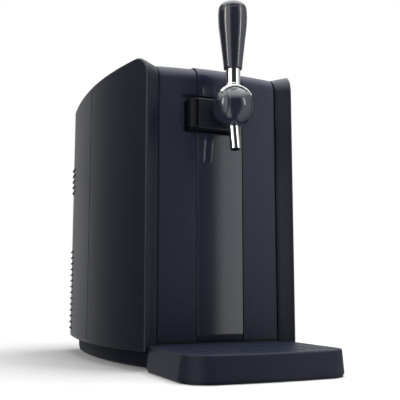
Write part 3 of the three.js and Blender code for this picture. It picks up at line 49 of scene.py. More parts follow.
MM = 1000
FRONT = -111.6


def place(x, y, z):
    """A point given in millimetres from the casing's front edges, in the row frame."""
    return Vector((x / MM, (y + FRONT) / MM, z / MM))


# Camera at the photograph's viewpoint
CAMERA_AT = (-357.5, -776.2, 94.0)
CAMERA_YAW = 0.39765
CAMERA_PITCH = 0.13212
CAMERA_LENS = 61.58
CAMERA_SENSOR = 36


def add_camera():
    """The camera that the photograph was taken with, fitted to the casing's edges."""
    data = bpy.data.cameras.new("camera")
    data.sensor_width = CAMERA_SENSOR
    data.lens = CAMERA_LENS
    camera = bpy.data.objects.new("camera", data)
    bpy.context.scene.collection.objects.link(camera)
    camera.location = place(*CAMERA_AT)
    look = Vector((
        math.sin(CAMERA_YAW) * math.cos(CAMERA_PITCH),
        math.cos(CAMERA_YAW) * math.cos(CAMERA_PITCH),
        math.sin(CAMERA_PITCH),
    ))
    camera.rotation_euler = look.to_track_quat("-Z", "Y").to_euler()
    bpy.context.scene.camera = camera


add_camera()
bpy.context.scene.view_settings.view_transform = "Standard"

# Materials
CLOUD_SCALE = 6
CLOUD_DETAIL = 3
TONE_SPREAD = 0.08
GLOSS_SPREAD = 0.1
GRAIN_SCALE = 1400
GRAIN_DETAIL = 2
GRAIN_DEPTH = 0.0002
COAT_ROUGHNESS = 0.04
SMEAR_SCALE = 40
STREAK_SCALE = 300
STREAK_LENGTH = 0.05
SMEAR_SPREAD = 0.3
SMEAR_TONE = 0.94


def grey(level):
    """A neutral colour."""
    return (level, level, level, 1)


def srgb(r, g, b):
    """Linear colour of an 8-bit display colour."""
    return tuple(
        ((c / 255 + 0.055) / 1.055) ** 2.4 if c > 10 else c / 255 / 12.92 for c in (r, g, b)) + (1,)


def shaded(colour, share):
    """A colour made lighter or darker by a share."""
    return tuple(c * share for c in colour[:3]) + (1,)


def add_node(tree, kind, **values):
    """A node of a tree, with the given sockets set; their spaces are written as low lines."""
    made = tree.nodes.new("ShaderNode" + kind)
    for socket, value in values.items():
        made.inputs[socket.replace("_", " ")].default_value = value
    return made


def new_material(name):
    """A node material with its Principled shader."""
    material = bpy.data.materials.new(name)
    material.use_nodes = True
    return material, material.node_tree, material.node_tree.nodes["Principled BSDF"]


def plastic(name, colour, roughness, specular, grain=0.0, coat=0.0):
    """Moulded plastic: faint cloudy tone, fine grain in the bump and slightly uneven gloss."""
    material, tree, shader = new_material(name)
    link = tree.links.new
    shader.inputs["Specular IOR Level"].default_value = specular
    shader.inputs["Coat Weight"].default_value = coat
    shader.inputs["Coat Roughness"].default_value = COAT_ROUGHNESS
    place_in = add_node(tree, "TexCoord")
    cloud = add_node(tree, "TexNoise", Scale=CLOUD_SCALE, Detail=CLOUD_DETAIL)
    link(place_in.outputs["Object"], cloud.inputs["Vector"])
    tone = add_node(
        tree, "MixRGB", Color1=shaded(colour, 1 - TONE_SPREAD), Color2=shaded(colour, 1 + TONE_SPREAD))
    link(cloud.outputs["Fac"], tone.inputs["Fac"])
    link(tone.outputs["Color"], shader.inputs["Base Color"])
    gloss = add_node(
        tree, "MapRange", To_Min=roughness * (1 - GLOSS_SPREAD), To_Max=roughness * (1 + GLOSS_SPREAD))
    link(cloud.outputs["Fac"], gloss.inputs["Value"])
    link(gloss.outputs["Result"], shader.inputs["Roughness"])
    if grain:
        fine = add_node(tree, "TexNoise", Scale=GRAIN_SCALE, Detail=GRAIN_DETAIL)
        link(place_in.outputs["Object"], fine.inputs["Vector"])
        bump = add_node(tree, "Bump", Strength=grain, Distance=GRAIN_DEPTH)
        link(fine.outputs["Fac"], bump.inputs["Height"])
        link(bump.outputs["Normal"], shader.inputs["Normal"])
    return material


def metal(name, colour, roughness, brushed=False):
    """Metal with faint smears in its gloss, drawn out into streaks where it is brushed."""
    material, tree, shader = new_material(name)
    link = tree.links.new
    shader.inputs["Metallic"].default_value = 1
    place_in = add_node(tree, "TexCoord")
    stretch = add_node(tree, "Mapping", Scale=(1, 1, STREAK_LENGTH if brushed else 1))
    smear = add_node(tree, "TexNoise", Scale=STREAK_SCALE if brushed else SMEAR_SCALE)
    link(place_in.outputs["Object"], stretch.inputs["Vector"])
    link(stretch.outputs["Vector"], smear.inputs["Vector"])
    gloss = add_node(
        tree, "MapRange", To_Min=roughness * (1 - SMEAR_SPREAD), To_Max=roughness * (1 + SMEAR_SPREAD))
    link(smear.outputs["Fac"], gloss.inputs["Value"])
    link(gloss.outputs["Result"], shader.inputs["Roughness"])
    tone = add_node(tree, "MixRGB", Color1=shaded(colour, SMEAR_TONE), Color2=colour)
    link(smear.outputs["Fac"], tone.inputs["Fac"])
    link(tone.outputs["Color"], shader.inputs["Base Color"])
    return material


casing_navy = plastic("casing_navy", srgb(16, 20, 33), 0.42, 0.32, grain=0.06)
# Painted shade: the louvre hoods belong to the casing but get a darker navy for the shade that falls on them.
hood_shaded_navy = plastic("hood_shaded_navy", srgb(12, 14, 20), 0.5, 0.15, grain=0.06)
door_navy = plastic("door_navy", srgb(34, 37, 52), 0.42, 0.2, grain=0.06)
column_gloss = plastic("column_gloss", srgb(33, 37, 49), 0.05, 1.0, coat=0.25)
tap_gloss = plastic("tap_gloss", srgb(35, 37, 49), 0.17, 0.65, coat=0.15)
tray_navy = plastic("tray_navy", srgb(27, 30, 42), 0.42, 0.14, grain=0.06)
block_black = plastic("block_black", srgb(12, 13, 16), 0.45, 0.1, grain=0.05)
base_navy = plastic("base_navy", srgb(17, 20, 30), 0.6, 0.08, grain=0.06)
block_navy = plastic("block_navy", srgb(26, 27, 38), 0.35, 0.4)
# Painted light: the door core, seen at the back of the pocket, is a lighter slate than the casing so that the
# shaded pocket reads lighter.
core_painted_light = plastic("core_painted_light", srgb(58, 61, 74), 0.5, 0.3, grain=0.08)
window_gloss = plastic("window_gloss", srgb(33, 35, 52), 0.22, 0.35)
mark_grey = plastic("mark_grey", srgb(120, 124, 132), 0.4, 0.4)
black = plastic("black_plastic", srgb(18, 19, 22), 0.5, 0.3, grain=0.08)
rubber = plastic("black_rubber", srgb(14, 14, 14), 0.8, 0.2, grain=0.15)
foam = plastic("grey_foam", srgb(44, 46, 50), 0.9, 0.1, grain=0.3)
ceramic = plastic("white_ceramic", srgb(225, 222, 212), 0.6, 0.3)
board = plastic("green_board", srgb(24, 82, 50), 0.5, 0.4)
chrome = metal("chrome", (0.78, 0.79, 0.81, 1), 0.05)
steel = metal("steel", (0.55, 0.56, 0.58, 1), 0.3, brushed=True)
aluminium = metal("aluminium", (0.7, 0.71, 0.73, 1), 0.35, brushed=True)

SLOT_MATERIALS = {
    "casing": casing_navy,
    "gloss_navy": tap_gloss,
    "black_plastic": black,
    "chrome": chrome,
    "steel": steel,
    "aluminium": aluminium,
    "ceramic": ceramic,
    "foam": foam,
    "rubber": rubber,
    "board": board,
}
NODE_MATERIALS = {"drip_grid": tray_navy, "door_core": core_painted_light}


def dress(obj, material):
    """Gives an object one material."""
    obj.data.materials.clear()
    obj.data.materials.append(material)


for part in frame["record"]["subparts"]:
    name = part["node"]
    if name in nodes:
        dress(nodes[name], NODE_MATERIALS.get(name, SLOT_MATERIALS[part["material_slot"]]))

# Mesh helpers
SAME_POINT = 1e-6
NO_LENGTH = 1e-7
NORMAL_WEIGHT = 80


def new_object(name, points, faces):
    """A mesh object from millimetre points, with its normals made consistent."""
    mesh = bpy.data.meshes.new(name)
    mesh.from_pydata([place(*p) for p in points], [], faces)
    work = bmesh.new()
    work.from_mesh(mesh)
    bmesh.ops.remove_doubles(work, verts=work.verts, dist=SAME_POINT)
    bmesh.ops.dissolve_degenerate(work, edges=work.edges, dist=NO_LENGTH)
    bmesh.ops.recalc_face_normals(work, faces=work.faces)
    work.to_mesh(mesh)
    work.free()
    obj = bpy.data.objects.new(name, mesh)
    bpy.context.scene.collection.objects.link(obj)
    return obj


def grid_faces(rows, columns, closed=False, skip=None):
    """Quads over a grid of points, round in the columns where closed."""
    faces = []
    for row in range(rows - 1):
        for column in range(columns if closed else columns - 1):
            if skip and skip(row, column):
                continue
            after = (column + 1) % columns
            first = row * columns
            faces.append((first + column, first + after, first + columns + after, first + columns + column))
    return faces


def loft_faces(count, rings):
    """Faces of a closed body over rings of points, capped at both ends."""
    last = (rings - 1) * count
    caps = [tuple(range(count)), tuple(last + i for i in range(count))]
    return grid_faces(rings, count, closed=True) + caps


def sheet_object(name, rows, skip=None):
    """An open skin over rows of points."""
    return new_object(name, [p for row in rows for p in row], grid_faces(len(rows), len(rows[0]), skip=skip))


def loft_object(name, rings):
    """A closed body over rings that have the same number of points."""
    return new_object(name, [p for ring in rings for p in ring], loft_faces(len(rings[0]), len(rings)))


def revolve_object(name, profile, axis, origin, steps=72):
    """A turned body about an axis through an origin, from a profile of radius and distance along it."""
    along = Vector(axis).normalized()
    side = along.orthogonal().normalized()
    other = along.cross(side)
    rows = []
    for step in range(steps):
        turn = 2 * math.pi * step / steps
        out = side * math.cos(turn) + other * math.sin(turn)
        rows.append([tuple(Vector(origin) + out * radius + along * far) for radius, far in profile])
    count = len(profile)
    last = (steps - 1) * count
    faces = grid_faces(steps, count)
    faces += [(last + i, last + i + 1, i + 1, i) for i in range(count - 1)]
    return new_object(name, [p for row in rows for p in row], faces)


def box_object(name, x0, y0, z0, x1, y1, z1):
    """A block between two corners."""
    ring = [(x0, y0), (x1, y0), (x1, y1), (x0, y1)]
    return loft_object(name, [[(x, y, z) for x, y in ring] for z in (z0, z1)])


def apply_modifiers(obj):
    """Replaces an object's mesh by what its modifiers make of it."""
    bpy.context.view_layer.update()
    made = bpy.data.meshes.new_from_object(obj.evaluated_get(bpy.context.evaluated_depsgraph_get()))
    obj.modifiers.clear()
    obj.data = made


def thicken(obj, thickness):
    """Gives an open skin its wall, inward."""
    wall = obj.modifiers.new("wall", "SOLIDIFY")
    wall.thickness = thickness / MM
    wall.offset = -1
    wall.use_even_offset = True
    apply_modifiers(obj)


def carve(obj, *cutters):
    """Cuts closed bodies out of an object and removes them."""
    for cutter in cutters:
        step = obj.modifiers.new("cut", "BOOLEAN")
        step.operation = "DIFFERENCE"
        step.solver = "EXACT"
        step.object = cutter
        apply_modifiers(obj)
        bpy.data.objects.remove(cutter)


def soften(obj, width, segments=3, degrees=35, weights=None):
    """Rounds an object's sharp edges, all alike or by a weight for each edge."""
    round_off = obj.modifiers.new("round", "BEVEL")
    round_off.width = width / MM
    round_off.segments = segments
    round_off.use_clamp_overlap = False
    if weights:
        layer = obj.data.attributes.new("bevel_weight_edge", "FLOAT", "EDGE")
        for edge in obj.data.edges:
            layer.data[edge.index].value = weights(*[obj.data.vertices[v].co for v in edge.vertices])
        round_off.limit_method = "WEIGHT"
    else:
        round_off.limit_method = "ANGLE"
        round_off.angle_limit = math.radians(degrees)


def finish_piece(obj, body, slot, material, *stands_for, sharp=40):
    """Shades a piece, dresses it, joins it to its body and hides the nodes that it stands for."""
    obj.data.shade_smooth()
    if not any(step.type == "BEVEL" for step in obj.modifiers):
        obj.data.set_sharp_from_angle(angle=math.radians(sharp))
    normals = obj.modifiers.new("normals", "WEIGHTED_NORMAL")
    normals.keep_sharp = True
    normals.weight = NORMAL_WEIGHT
    dress(obj, material)
    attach(obj, body)
    if stands_for:
        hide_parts(*stands_for)


# Outline helpers
def arc(x, y, radius, start, end, steps):
    """Points on an arc, angles in degrees."""
    turns = [math.radians(start + (end - start) * step / steps) for step in range(steps + 1)]
    return [(x + radius * math.cos(turn), y + radius * math.sin(turn)) for turn in turns]


def spread(start, end, count):
    """Evenly spaced numbers, both ends included."""
    return [start + (end - start) * step / (count - 1) for step in range(count)]


def quarter(steps):
    """Angles of a quarter turn in radians, both ends included."""
    return [math.radians(90 * step / steps) for step in range(steps + 1)]


def rounding(radius, steps):
    """A quarter round from its side to its top: how far in, and how far below the top."""
    return [(radius * (1 - math.cos(a)), radius * (1 - math.sin(a))) for a in quarter(steps)]


def smooth_line(points, parts):
    """Points of a smooth curve through the given points, with some parts between each two."""
    line = []
    for i in range(len(points) - 1):
        before = points[max(i - 1, 0)]
        a, b = points[i], points[i + 1]
        after = points[min(i + 2, len(points) - 1)]
        for step in range(parts):
            t = step / parts
            line.append(tuple(
                0.5 * (2 * p1 + (p2 - p0) * t + (2 * p0 - 5 * p1 + 4 * p2 - p3) * t * t
                       + (3 * p1 - p0 - 3 * p2 + p3) * t ** 3)
                for p0, p1, p2, p3 in zip(before, a, b, after)))
    line.append(points[-1])
    return line


def rounded_outline(left, low, right, high, radii, steps=8):
    """Rectangle with its own radius at each corner, from the top right one round by the left."""
    corners = [
        (right, high, -1, -1, 0, radii[0]), (left, high, 1, -1, 90, radii[1]),
        (left, low, 1, 1, 180, radii[2]), (right, low, -1, 1, 270, radii[3])]
    return [p for x, z, dx, dz, start, radius in corners
            for p in arc(x + dx * radius, z + dz * radius, radius, start, start + 90, steps)]


def mirrored_rows(rows):
    """Rows of points mirrored between left and right."""
    return [[(-x, y, z) for x, y, z in row] for row in rows]


# Casing outline
WIDEST = 130
WIDEST_DEPTH = 185
FRONT_HALF = 101.8
DEPTH = 358
TOP = 386.2
BOTTOM = 23.5
RIM_TOP = 380.7
RIM_INNER = 83.2
RIM_DROP = 11.65
DOOR_HALF = 82.5
DOOR_BOTTOM = 33
DOOR_BACK = 33.65
DOOR_BOW = 2.95
CROWN_BOW = 1.5
COVER_GAP = 0.6
COVER_FRONT = DOOR_BACK + COVER_GAP
REAR_RADIUS = 947
CORNER_RADIUS = 48
FRONT_RADIUS = (WIDEST_DEPTH ** 2 + (WIDEST - FRONT_HALF) ** 2) / (2 * (WIDEST - FRONT_HALF))
CORNER_Y = DEPTH - CORNER_RADIUS
CORNER_X = (WIDEST - REAR_RADIUS
            + math.sqrt((REAR_RADIUS - CORNER_RADIUS) ** 2 - (CORNER_Y - WIDEST_DEPTH) ** 2))
CORNER_START = math.degrees(math.atan2(CORNER_Y - WIDEST_DEPTH, CORNER_X - WIDEST + REAR_RADIUS))


def half_width(depth, inset=0):
    """Half width of the casing at a depth in front of its rear corners."""
    radius = FRONT_RADIUS if depth < WIDEST_DEPTH else REAR_RADIUS
    return WIDEST - radius + math.sqrt((radius - inset) ** 2 - (depth - WIDEST_DEPTH) ** 2)


RIM_TOP_WIDTH = half_width(COVER_FRONT) - RIM_INNER


def crown(x):
    """Height of the door's top and of the top cover at a distance from the middle."""
    return RIM_TOP + CROWN_BOW * max(1 - (x / DOOR_HALF) ** 2, 0)


def door_face(x):
    """Depth of the door's face, which bows forward in the middle."""
    return RIM_DROP - DOOR_BOW * (1 - (x / DOOR_HALF) ** 2)


# Side shells and the rim that slopes in from their outer edge
EDGE_ROUND = 2.5
SHELL_SEAM = 169.5
SHELL_MIDDLE = 190
SHELL_WALL = 2.3
OUTER_CORNER = 28
INNER_CORNER = 21
RIM_TOP_START = 34.5
RIM_SLOPE_SHARES = ((0.3, 0.31), (0.6, 0.625), (0.78, 0.82), (0.87, 0.91), (0.93, 0.96), (0.975, 0.985),
                    (0.995, 1.0))
LIP_DROPS = (0.7, 3.2)


def shell_stations():
    """Turn of the edge, outer edge and inner edge, from the front's foot over the corner to the seam."""
    stations = [(0, (0, z), (RIM_DROP, z)) for z in (BOTTOM, SHELL_MIDDLE)]
    for turn in quarter(18):
        back, drop = 1 - math.cos(turn), 1 - math.sin(turn)
        outer = (OUTER_CORNER * back, TOP - OUTER_CORNER * drop)
        inner = (RIM_DROP + INNER_CORNER * back, RIM_TOP - INNER_CORNER * drop)
        stations.append((turn, outer, inner))
    for y in spread(RIM_TOP_START, SHELL_SEAM, 14):
        stations.append((math.pi / 2, (y, TOP), (y, RIM_TOP)))
    return stations


def shell_rows():
    """Rows over the right side shell's skin, from the wall's foot over the edge to the rim's inner end."""
    rows = []
    for turn, outer, inner in shell_stations():
        in_y, in_z = math.cos(turn), -math.sin(turn)
        crest = []
        for across, down in rounding(EDGE_ROUND, 6):
            y = outer[0] + in_y * down
            crest.append((half_width(y) - across, y, outer[1] + in_z * down))
        edge_x = crest[-1][0]
        inner_x = RIM_INNER if inner[0] < COVER_FRONT else half_width(inner[0]) - RIM_TOP_WIDTH
        slope = [
            (edge_x + (inner_x - edge_x) * across,
             outer[0] + (inner[0] - outer[0]) * down,
             outer[1] + (inner[1] - outer[1]) * down)
            for across, down in RIM_SLOPE_SHARES]
        lip = [(inner_x, inner[0] + in_y * drop, inner[1] + in_z * drop) for drop in LIP_DROPS]
        x, y, high = crest[0]
        wall = [(x, y, BOTTOM), (x, y, (BOTTOM + high) / 2)]
        rows.append(wall + crest + slope + lip)
    return rows


def side_shells():
    """Both side shells."""
    rows = shell_rows()
    for side, skin in (("right", rows), ("left", mirrored_rows(rows))):
        shell = sheet_object(f"side_shell_{side}_skin", skin)
        thicken(shell, SHELL_WALL)
        soften(shell, 0.4, segments=2, degrees=50)
        finish_piece(shell, "case", "casing", casing_navy, f"side_shell_{side}")


# Base pan: height and inset of each level, up its outside and down its inside
PLINTH_INSET = 14
PLINTH_FRONT = 15.8
BASE_LEVELS = [(2.5, 16.5), (2.9, 15.9), (4, 15.3), (8, 14.6), (14, 14.1), (21.4, 14), (21.6, 6), (23.2, 6),
               (23.2, 17), (5.6, 17.4), (5.5, 18)]


def base_plan(inset):
    """Plan of the base pan, closed, from the front right round the back."""
    depths = spread(PLINTH_FRONT + inset - PLINTH_INSET, 163, 10) + spread(175, CORNER_Y - 8, 8)
    right = [(half_width(y) - inset, y) for y in depths]
    right += arc(CORNER_X, CORNER_Y, CORNER_RADIUS - inset, CORNER_START, 90, 12)
    return right + [(-x, y) for x, y in reversed(right)]


def base_pan():
    """The hollow dark plinth under the casing."""
    rings = [[(x, y, z) for x, y in base_plan(inset)] for z, inset in BASE_LEVELS]
    base = loft_object("base_pan_body", rings)
    finish_piece(base, "case", "black_plastic", base_navy, "base_pan")


# Rear cover with its louvres; the inlet's and the switch's openings are half width, low and high edge
LOUVRE_PITCH = 9.1
LOUVRE_GROUPS = ((36, 14), (250, 5))
LOUVRE_HEIGHTS = [start + LOUVRE_PITCH * row for start, count in LOUVRE_GROUPS for row in range(count)]
SLOT_HEIGHT = 4.2
SPINE = 27
SLOT_END = SPINE + 2.5
SLOT_FRONT = CORNER_Y - 3
INLET = (14.3, 51.7, 72.3)
SWITCH = (11.3, 88.7, 119.3)
COVER_SEAM = 171.2
COVER_WALL = 2.4
COVER_TUCK = (3, 6)
PLAIN_HEIGHTS = {180, 205, 230, 310, 350}
REAR_FLAT = 54


def rear_stations():
    """Half plan of the rear cover: points with the direction that leads inward, per millimetre."""
    stations = []
    for y in spread(COVER_SEAM, CORNER_Y - 6, 9):
        x = half_width(y)
        stations.append((x, y, (half_width(y, RIM_TOP_WIDTH) - x) / RIM_TOP_WIDTH, 0))
    for px, py in arc(0, 0, 1, CORNER_START, 90, 14):
        stations.append((CORNER_X + CORNER_RADIUS * px, CORNER_Y + CORNER_RADIUS * py, -px, -py))
    stations += [(x, DEPTH, 0, -1) for x in (REAR_FLAT, SLOT_END, INLET[0], SWITCH[0], 0)]
    return stations


def rear_section():
    """Inset and height of the rear cover's skin, from its foot over the top edge to the rim's lip."""
    tuck, rise = COVER_TUCK
    section = [(tuck * (1 - math.sin(a)), BOTTOM + rise * (1 - math.cos(a))) for a in quarter(6)]
    heights = {h - SLOT_HEIGHT for h in LOUVRE_HEIGHTS} | set(LOUVRE_HEIGHTS) | PLAIN_HEIGHTS
    heights |= {INLET[1], INLET[2], SWITCH[1], SWITCH[2]}
    section += [(0, z) for z in sorted(heights)]
    section += [(inset, TOP - down) for inset, down in rounding(EDGE_ROUND, 6)]
    section += [(EDGE_ROUND + (RIM_TOP_WIDTH - EDGE_ROUND) * across, TOP - (TOP - RIM_TOP) * down)
                for across, down in RIM_SLOPE_SHARES]
    return section + [(RIM_TOP_WIDTH, RIM_TOP - drop) for drop in LIP_DROPS]


def rear_cover():
    """The skin with its slots and openings left out, then its wall."""
    half = rear_stations()
    stations = half + [(-x, y, -nx, ny) for x, y, nx, ny in reversed(half[:-1])]
    section = rear_section()
    rows = [[(x + nx * inset, y + ny * inset, z) for inset, z in section] for x, y, nx, ny in stations]

    def left_out(row, column):
        (x0, y0), (x1, y1) = stations[row][:2], stations[row + 1][:2]
        (inset0, low), (inset1, high) = section[column:column + 2]
        across, up = abs(x0 + x1) / 2, (low + high) / 2
        if min(y0, y1) < SLOT_FRONT or inset0 or inset1:
            return False
        if any(across < half_wide and z0 < up < z1 for half_wide, z0, z1 in (SWITCH, INLET)):
            return True
        return across > SLOT_END and any(h - SLOT_HEIGHT < up < h for h in LOUVRE_HEIGHTS)

    cover = sheet_object("rear_cover_skin", rows, skip=left_out)
    thicken(cover, COVER_WALL)
    soften(cover, 0.35, segments=2, degrees=50)
    finish_piece(cover, "case", "casing", casing_navy, "rear_cover")


HOOD_STARTS = (292, 295, 298, 303)
HOOD_SECTION = ((-1.5, 0, 0), (0, 1.8, 0), (0, 2.15, 0.35), (0, 2.05, 0.9), (0, 1.2, 2.2), (-1.5, 0, 4.4))


def hood_stations():
    """Points along a hood with their outward direction and the share of its full depth."""
    line = [(half_width(y), y, 1, 0) for y in HOOD_STARTS]
    line += [(CORNER_X + CORNER_RADIUS * px, CORNER_Y + CORNER_RADIUS * py, px, py)
             for px, py in arc(0, 0, 1, CORNER_START, 90, 14)]
    line += [(x, DEPTH, 0, 1) for x in (REAR_FLAT, SPINE + 2, SPINE)]
    shares = [0.05, 0.5, 0.9] + [1] * (len(line) - 5) + [0.9, 0.3]
    return [point + (share,) for point, share in zip(line, shares)]


def louvre_hoods():
    """All hoods in one piece: drawn lips over the slots, tapering out on the flanks, darker as painted shade.
    """
    stations = hood_stations()
    block = loft_faces(len(HOOD_SECTION), len(stations))
    points, faces = [], []
    for mirror in (1, -1):
        for height in LOUVRE_HEIGHTS:
            first = len(points)
            for x, y, nx, ny, share in stations:
                for fixed, drawn, up in HOOD_SECTION:
                    out = fixed + drawn * share
                    points.append((mirror * (x + out * nx), y + out * ny, height + up))
            faces += [tuple(first + i for i in face) for face in block]
    hoods = new_object("louvre_hoods", points, faces)
    finish_piece(hoods, "case", "casing", hood_shaded_navy)


SCREEN_INSET = 6
SCREEN_FRONT = 275
SCREEN_HEIGHTS = (28, 165, 300)
SCREEN_WALL = 0.8


def louvre_shade_sheets():
    """Thin dark sheets close behind the slots, one on each side of the middle: painted shade that keeps the
    slots dark.
    """
    line = [(x + SCREEN_INSET * nx, y + SCREEN_INSET * ny)
            for x, y, nx, ny in rear_stations() if y > SCREEN_FRONT and x >= SLOT_END]
    rows = [[(x, y, z) for z in SCREEN_HEIGHTS] for x, y in line]
    for side, skin in (("right", rows), ("left", mirrored_rows(rows))):
        screen = sheet_object(f"louvre_shade_sheet_{side}", skin)
        thicken(screen, SCREEN_WALL)
        finish_piece(screen, "case", "black_plastic", black)


# Pocket in the door, in which the tap block sits: left, low, right and high edge
POCKET_OUTLINE = rounded_outline(-52.5, 294.2, 24.5, 341, (6, 5, 9, 6))
CUTTER_DEPTHS = (-20, 60)
SHORTEST_SPAN = 1e-6
ON_OUTLINE = 0.03
MOUTH_DEPTH = 0.4


def pocket_cutter():
    """Body for cutting the pocket out of a skin."""
    return loft_object("cutter", [[(x, y, z) for x, z in POCKET_OUTLINE] for y in CUTTER_DEPTHS])


def outline_distance(x, z):
    """Distance of a point of the door's face from the pocket's outline."""
    nearest = math.inf
    for (x0, z0), (x1, z1) in zip(POCKET_OUTLINE, POCKET_OUTLINE[1:] + POCKET_OUTLINE[:1]):
        span = Vector((x1 - x0, z1 - z0))
        if span.length < SHORTEST_SPAN:
            continue
        share = max(0, min(1, Vector((x - x0, z - z0)).dot(span) / span.length_squared))
        nearest = min(nearest, math.hypot(x - x0 - share * span.x, z - z0 - share * span.y))
    return nearest


def pocket_weight(proud):
    """Edge weights that round the pocket's mouth in a skin that stands proud by an amount."""
    def at_mouth(point):
        if outline_distance(point.x * MM, point.z * MM) >= ON_OUTLINE:
            return False
        return point.y * MM - FRONT < door_face(point.x * MM) - proud + MOUTH_DEPTH

    def weight(a, b):
        return 1 if at_mouth(a) and at_mouth(b) else 0
    return weight


# Door skins
DOOR_ROUND = 21
FACE_LEVELS = (120, 210, 291, 318, 345)
WING_INNER = 32.1
WING_INNER_ROUND = 0.5
WING_OUTER_ROUND = 3
WING_WALL = 2.9
HINGE_NOTCH = (-90, 13.15, 360.5, -71, 45, 363.6)
HINGE_CHAMFER = [(-74.5, DOOR_BACK), (-74.5, 40), (-90, 40), (-90, DOOR_BACK - 4.65)]


def skin_row(x, face, top, radius, low=DOOR_BOTTOM, steps=14, levels=FACE_LEVELS):
    """A row up a door skin at one distance from the middle: face, round top edge and top."""
    upright = [z for z in (low,) + tuple(levels) if low <= z < top - radius - 1]
    line = [(face, z) for z in upright]
    line += arc(face + radius, top - radius, radius, 180, 90, steps)
    if DOOR_BACK > line[-1][0] + 0.2:
        line.append((DOOR_BACK, top))
    return [(x, y, z) for y, z in line]


def wing_rows():
    """Rows over the right wing's skin, from beside the column to its rounded outer edge."""
    bend = DOOR_HALF - WING_OUTER_ROUND
    stations = [(WING_INNER + across, inset) for across, inset in rounding(WING_INNER_ROUND, 4)]
    stations += [(x, 0) for x in spread(35, bend, 9)]
    stations += [(bend + WING_OUTER_ROUND * math.sin(a), WING_OUTER_ROUND * (1 - math.cos(a)))
                 for a in quarter(9)[1:]]
    return [skin_row(x, door_face(x) + inset, crown(x) - inset, DOOR_ROUND - inset) for x, inset in stations]


def door_wings():
    """The door's two wings; the left one holds the pocket's end and clears the hinge."""
    rows = wing_rows()
    right = sheet_object("door_wing_right_skin", rows)
    thicken(right, WING_WALL)
    finish_piece(right, "door", "casing", door_navy, "door_wing_right")
    left = sheet_object("door_wing_left_skin", mirrored_rows(rows))
    thicken(left, WING_WALL)
    chamfer = loft_object("cutter", [[(x, y, z) for x, y in HINGE_CHAMFER] for z in (0, 400)])
    carve(left, pocket_cutter(), box_object("cutter", *HINGE_NOTCH), chamfer)
    soften(left, 2.3, segments=5, weights=pocket_weight(0))
    finish_piece(left, "door", "casing", door_navy, "door_wing_left")


# Column: lower panel, crown and display window
COLUMN_HALF = 30.9
COLUMN_ROUND = 0.6
COLUMN_PROUD = 0.8
COLUMN_FOOT = [(2.0, 33), (1.75, 33.9), (0.35, 38.8), (0.1, 39.8), (0, 41)]
COLUMN_LEVELS = (60, 120, 180, 240, 291, 318, 341)
COLUMN_WALL = 3.6
CROWN_LOW = 341.3
CROWN_RISE = 2.4
CROWN_ROUND = 23.4
CROWN_WALL = 3.4
WINDOW_LOW = 342.2
WINDOW_PROUD = 0.25
WINDOW_WALL = 1.2
WINDOW_HALF_TOP = [
    (0, 365), (8.4, 365.1), (12.5, 366.4), (16.9, 368.8), (22.5, 370.6), (27.4, 370.4), (29, 368.6)]
MARK_X = -23.4
MARK_HALF = 0.35
MARK_HEIGHTS = (343.6, 352.2)


def column_stations():
    """Distances from the middle and insets over the column's softened width."""
    left = [(across - COLUMN_HALF, inset) for across, inset in rounding(COLUMN_ROUND, 6)]
    middle = [(x, 0) for x in spread(-27, 27, 13)]
    return left + middle + [(-x, inset) for x, inset in reversed(left)]


def column_face(x):
    """Depth of the column's face."""
    return door_face(x) - COLUMN_PROUD


def column_depth(x, z):
    """Depth of the column's outside at a height, round its top edge."""
    up = max(0, z - (crown(x) + CROWN_RISE - CROWN_ROUND))
    return column_face(x) + CROWN_ROUND - math.sqrt(max(CROWN_ROUND ** 2 - up ** 2, 0))


def column_panel():
    """The column's glossy lower panel, cut by the pocket."""
    rows = []
    for x, inset in column_stations():
        face = column_face(x) + inset
        line = [(face + back, z) for back, z in COLUMN_FOOT] + [(face, z) for z in COLUMN_LEVELS]
        rows.append([(x, y, z) for y, z in line])
    panel = sheet_object("column_panel_skin", rows)
    thicken(panel, COLUMN_WALL)
    carve(panel, pocket_cutter())
    soften(panel, 1.3, segments=4, weights=pocket_weight(COLUMN_PROUD))
    finish_piece(panel, "door", "gloss_navy", column_gloss, "column_panel")


def column_crown():
    """The column's top, which rounds back over the door's upper edge."""
    rows = [skin_row(x, column_face(x) + inset, crown(x) + CROWN_RISE - inset, CROWN_ROUND - inset,
                     low=CROWN_LOW, levels=(350,), steps=18) for x, inset in column_stations()]
    top = sheet_object("column_crown_skin", rows)
    thicken(top, CROWN_WALL)
    soften(top, 0.4, segments=2, degrees=60)
    finish_piece(top, "door", "gloss_navy", door_navy, "column_crown")


def display():
    """The display window on the crown and its one faint mark."""
    top_line = [(-x, z) for x, z in reversed(WINDOW_HALF_TOP[1:])] + WINDOW_HALF_TOP
    rows = [[(x, column_depth(x, z) - WINDOW_PROUD, z) for z in spread(WINDOW_LOW, high, 16)]
            for x, high in smooth_line(top_line, 5)]
    window = sheet_object("display_window_glass", rows)
    thicken(window, WINDOW_WALL)
    finish_piece(window, "door", "gloss_navy", window_gloss, "display_window", sharp=50)
    face = column_face(MARK_X)
    mark = box_object("display_mark", MARK_X - MARK_HALF, face - 0.42, MARK_HEIGHTS[0],
                      MARK_X + MARK_HALF, face + 0.4, MARK_HEIGHTS[1])
    soften(mark, 0.15, segments=2)
    finish_piece(mark, "door", "gloss_navy", mark_grey)


# Tap block in the pocket
BLOCK_LEFT, BLOCK_RIGHT = -46, 19
BLOCK_FRONT, BLOCK_BACK = -6.55, 16.875
BLOCK_LOW, BLOCK_HIGH = 296.5, 334.6
BLOCK_BEND = (13, 13.5)
BLOCK_CORNER = 2.8
BLOCK_EDGE = 1.4
BLOCK_GROOVE = (-37.9, -20, 299.5, -35.9, -2.4, 331.6)
BLOCK_FACE_LEFT = -36.4


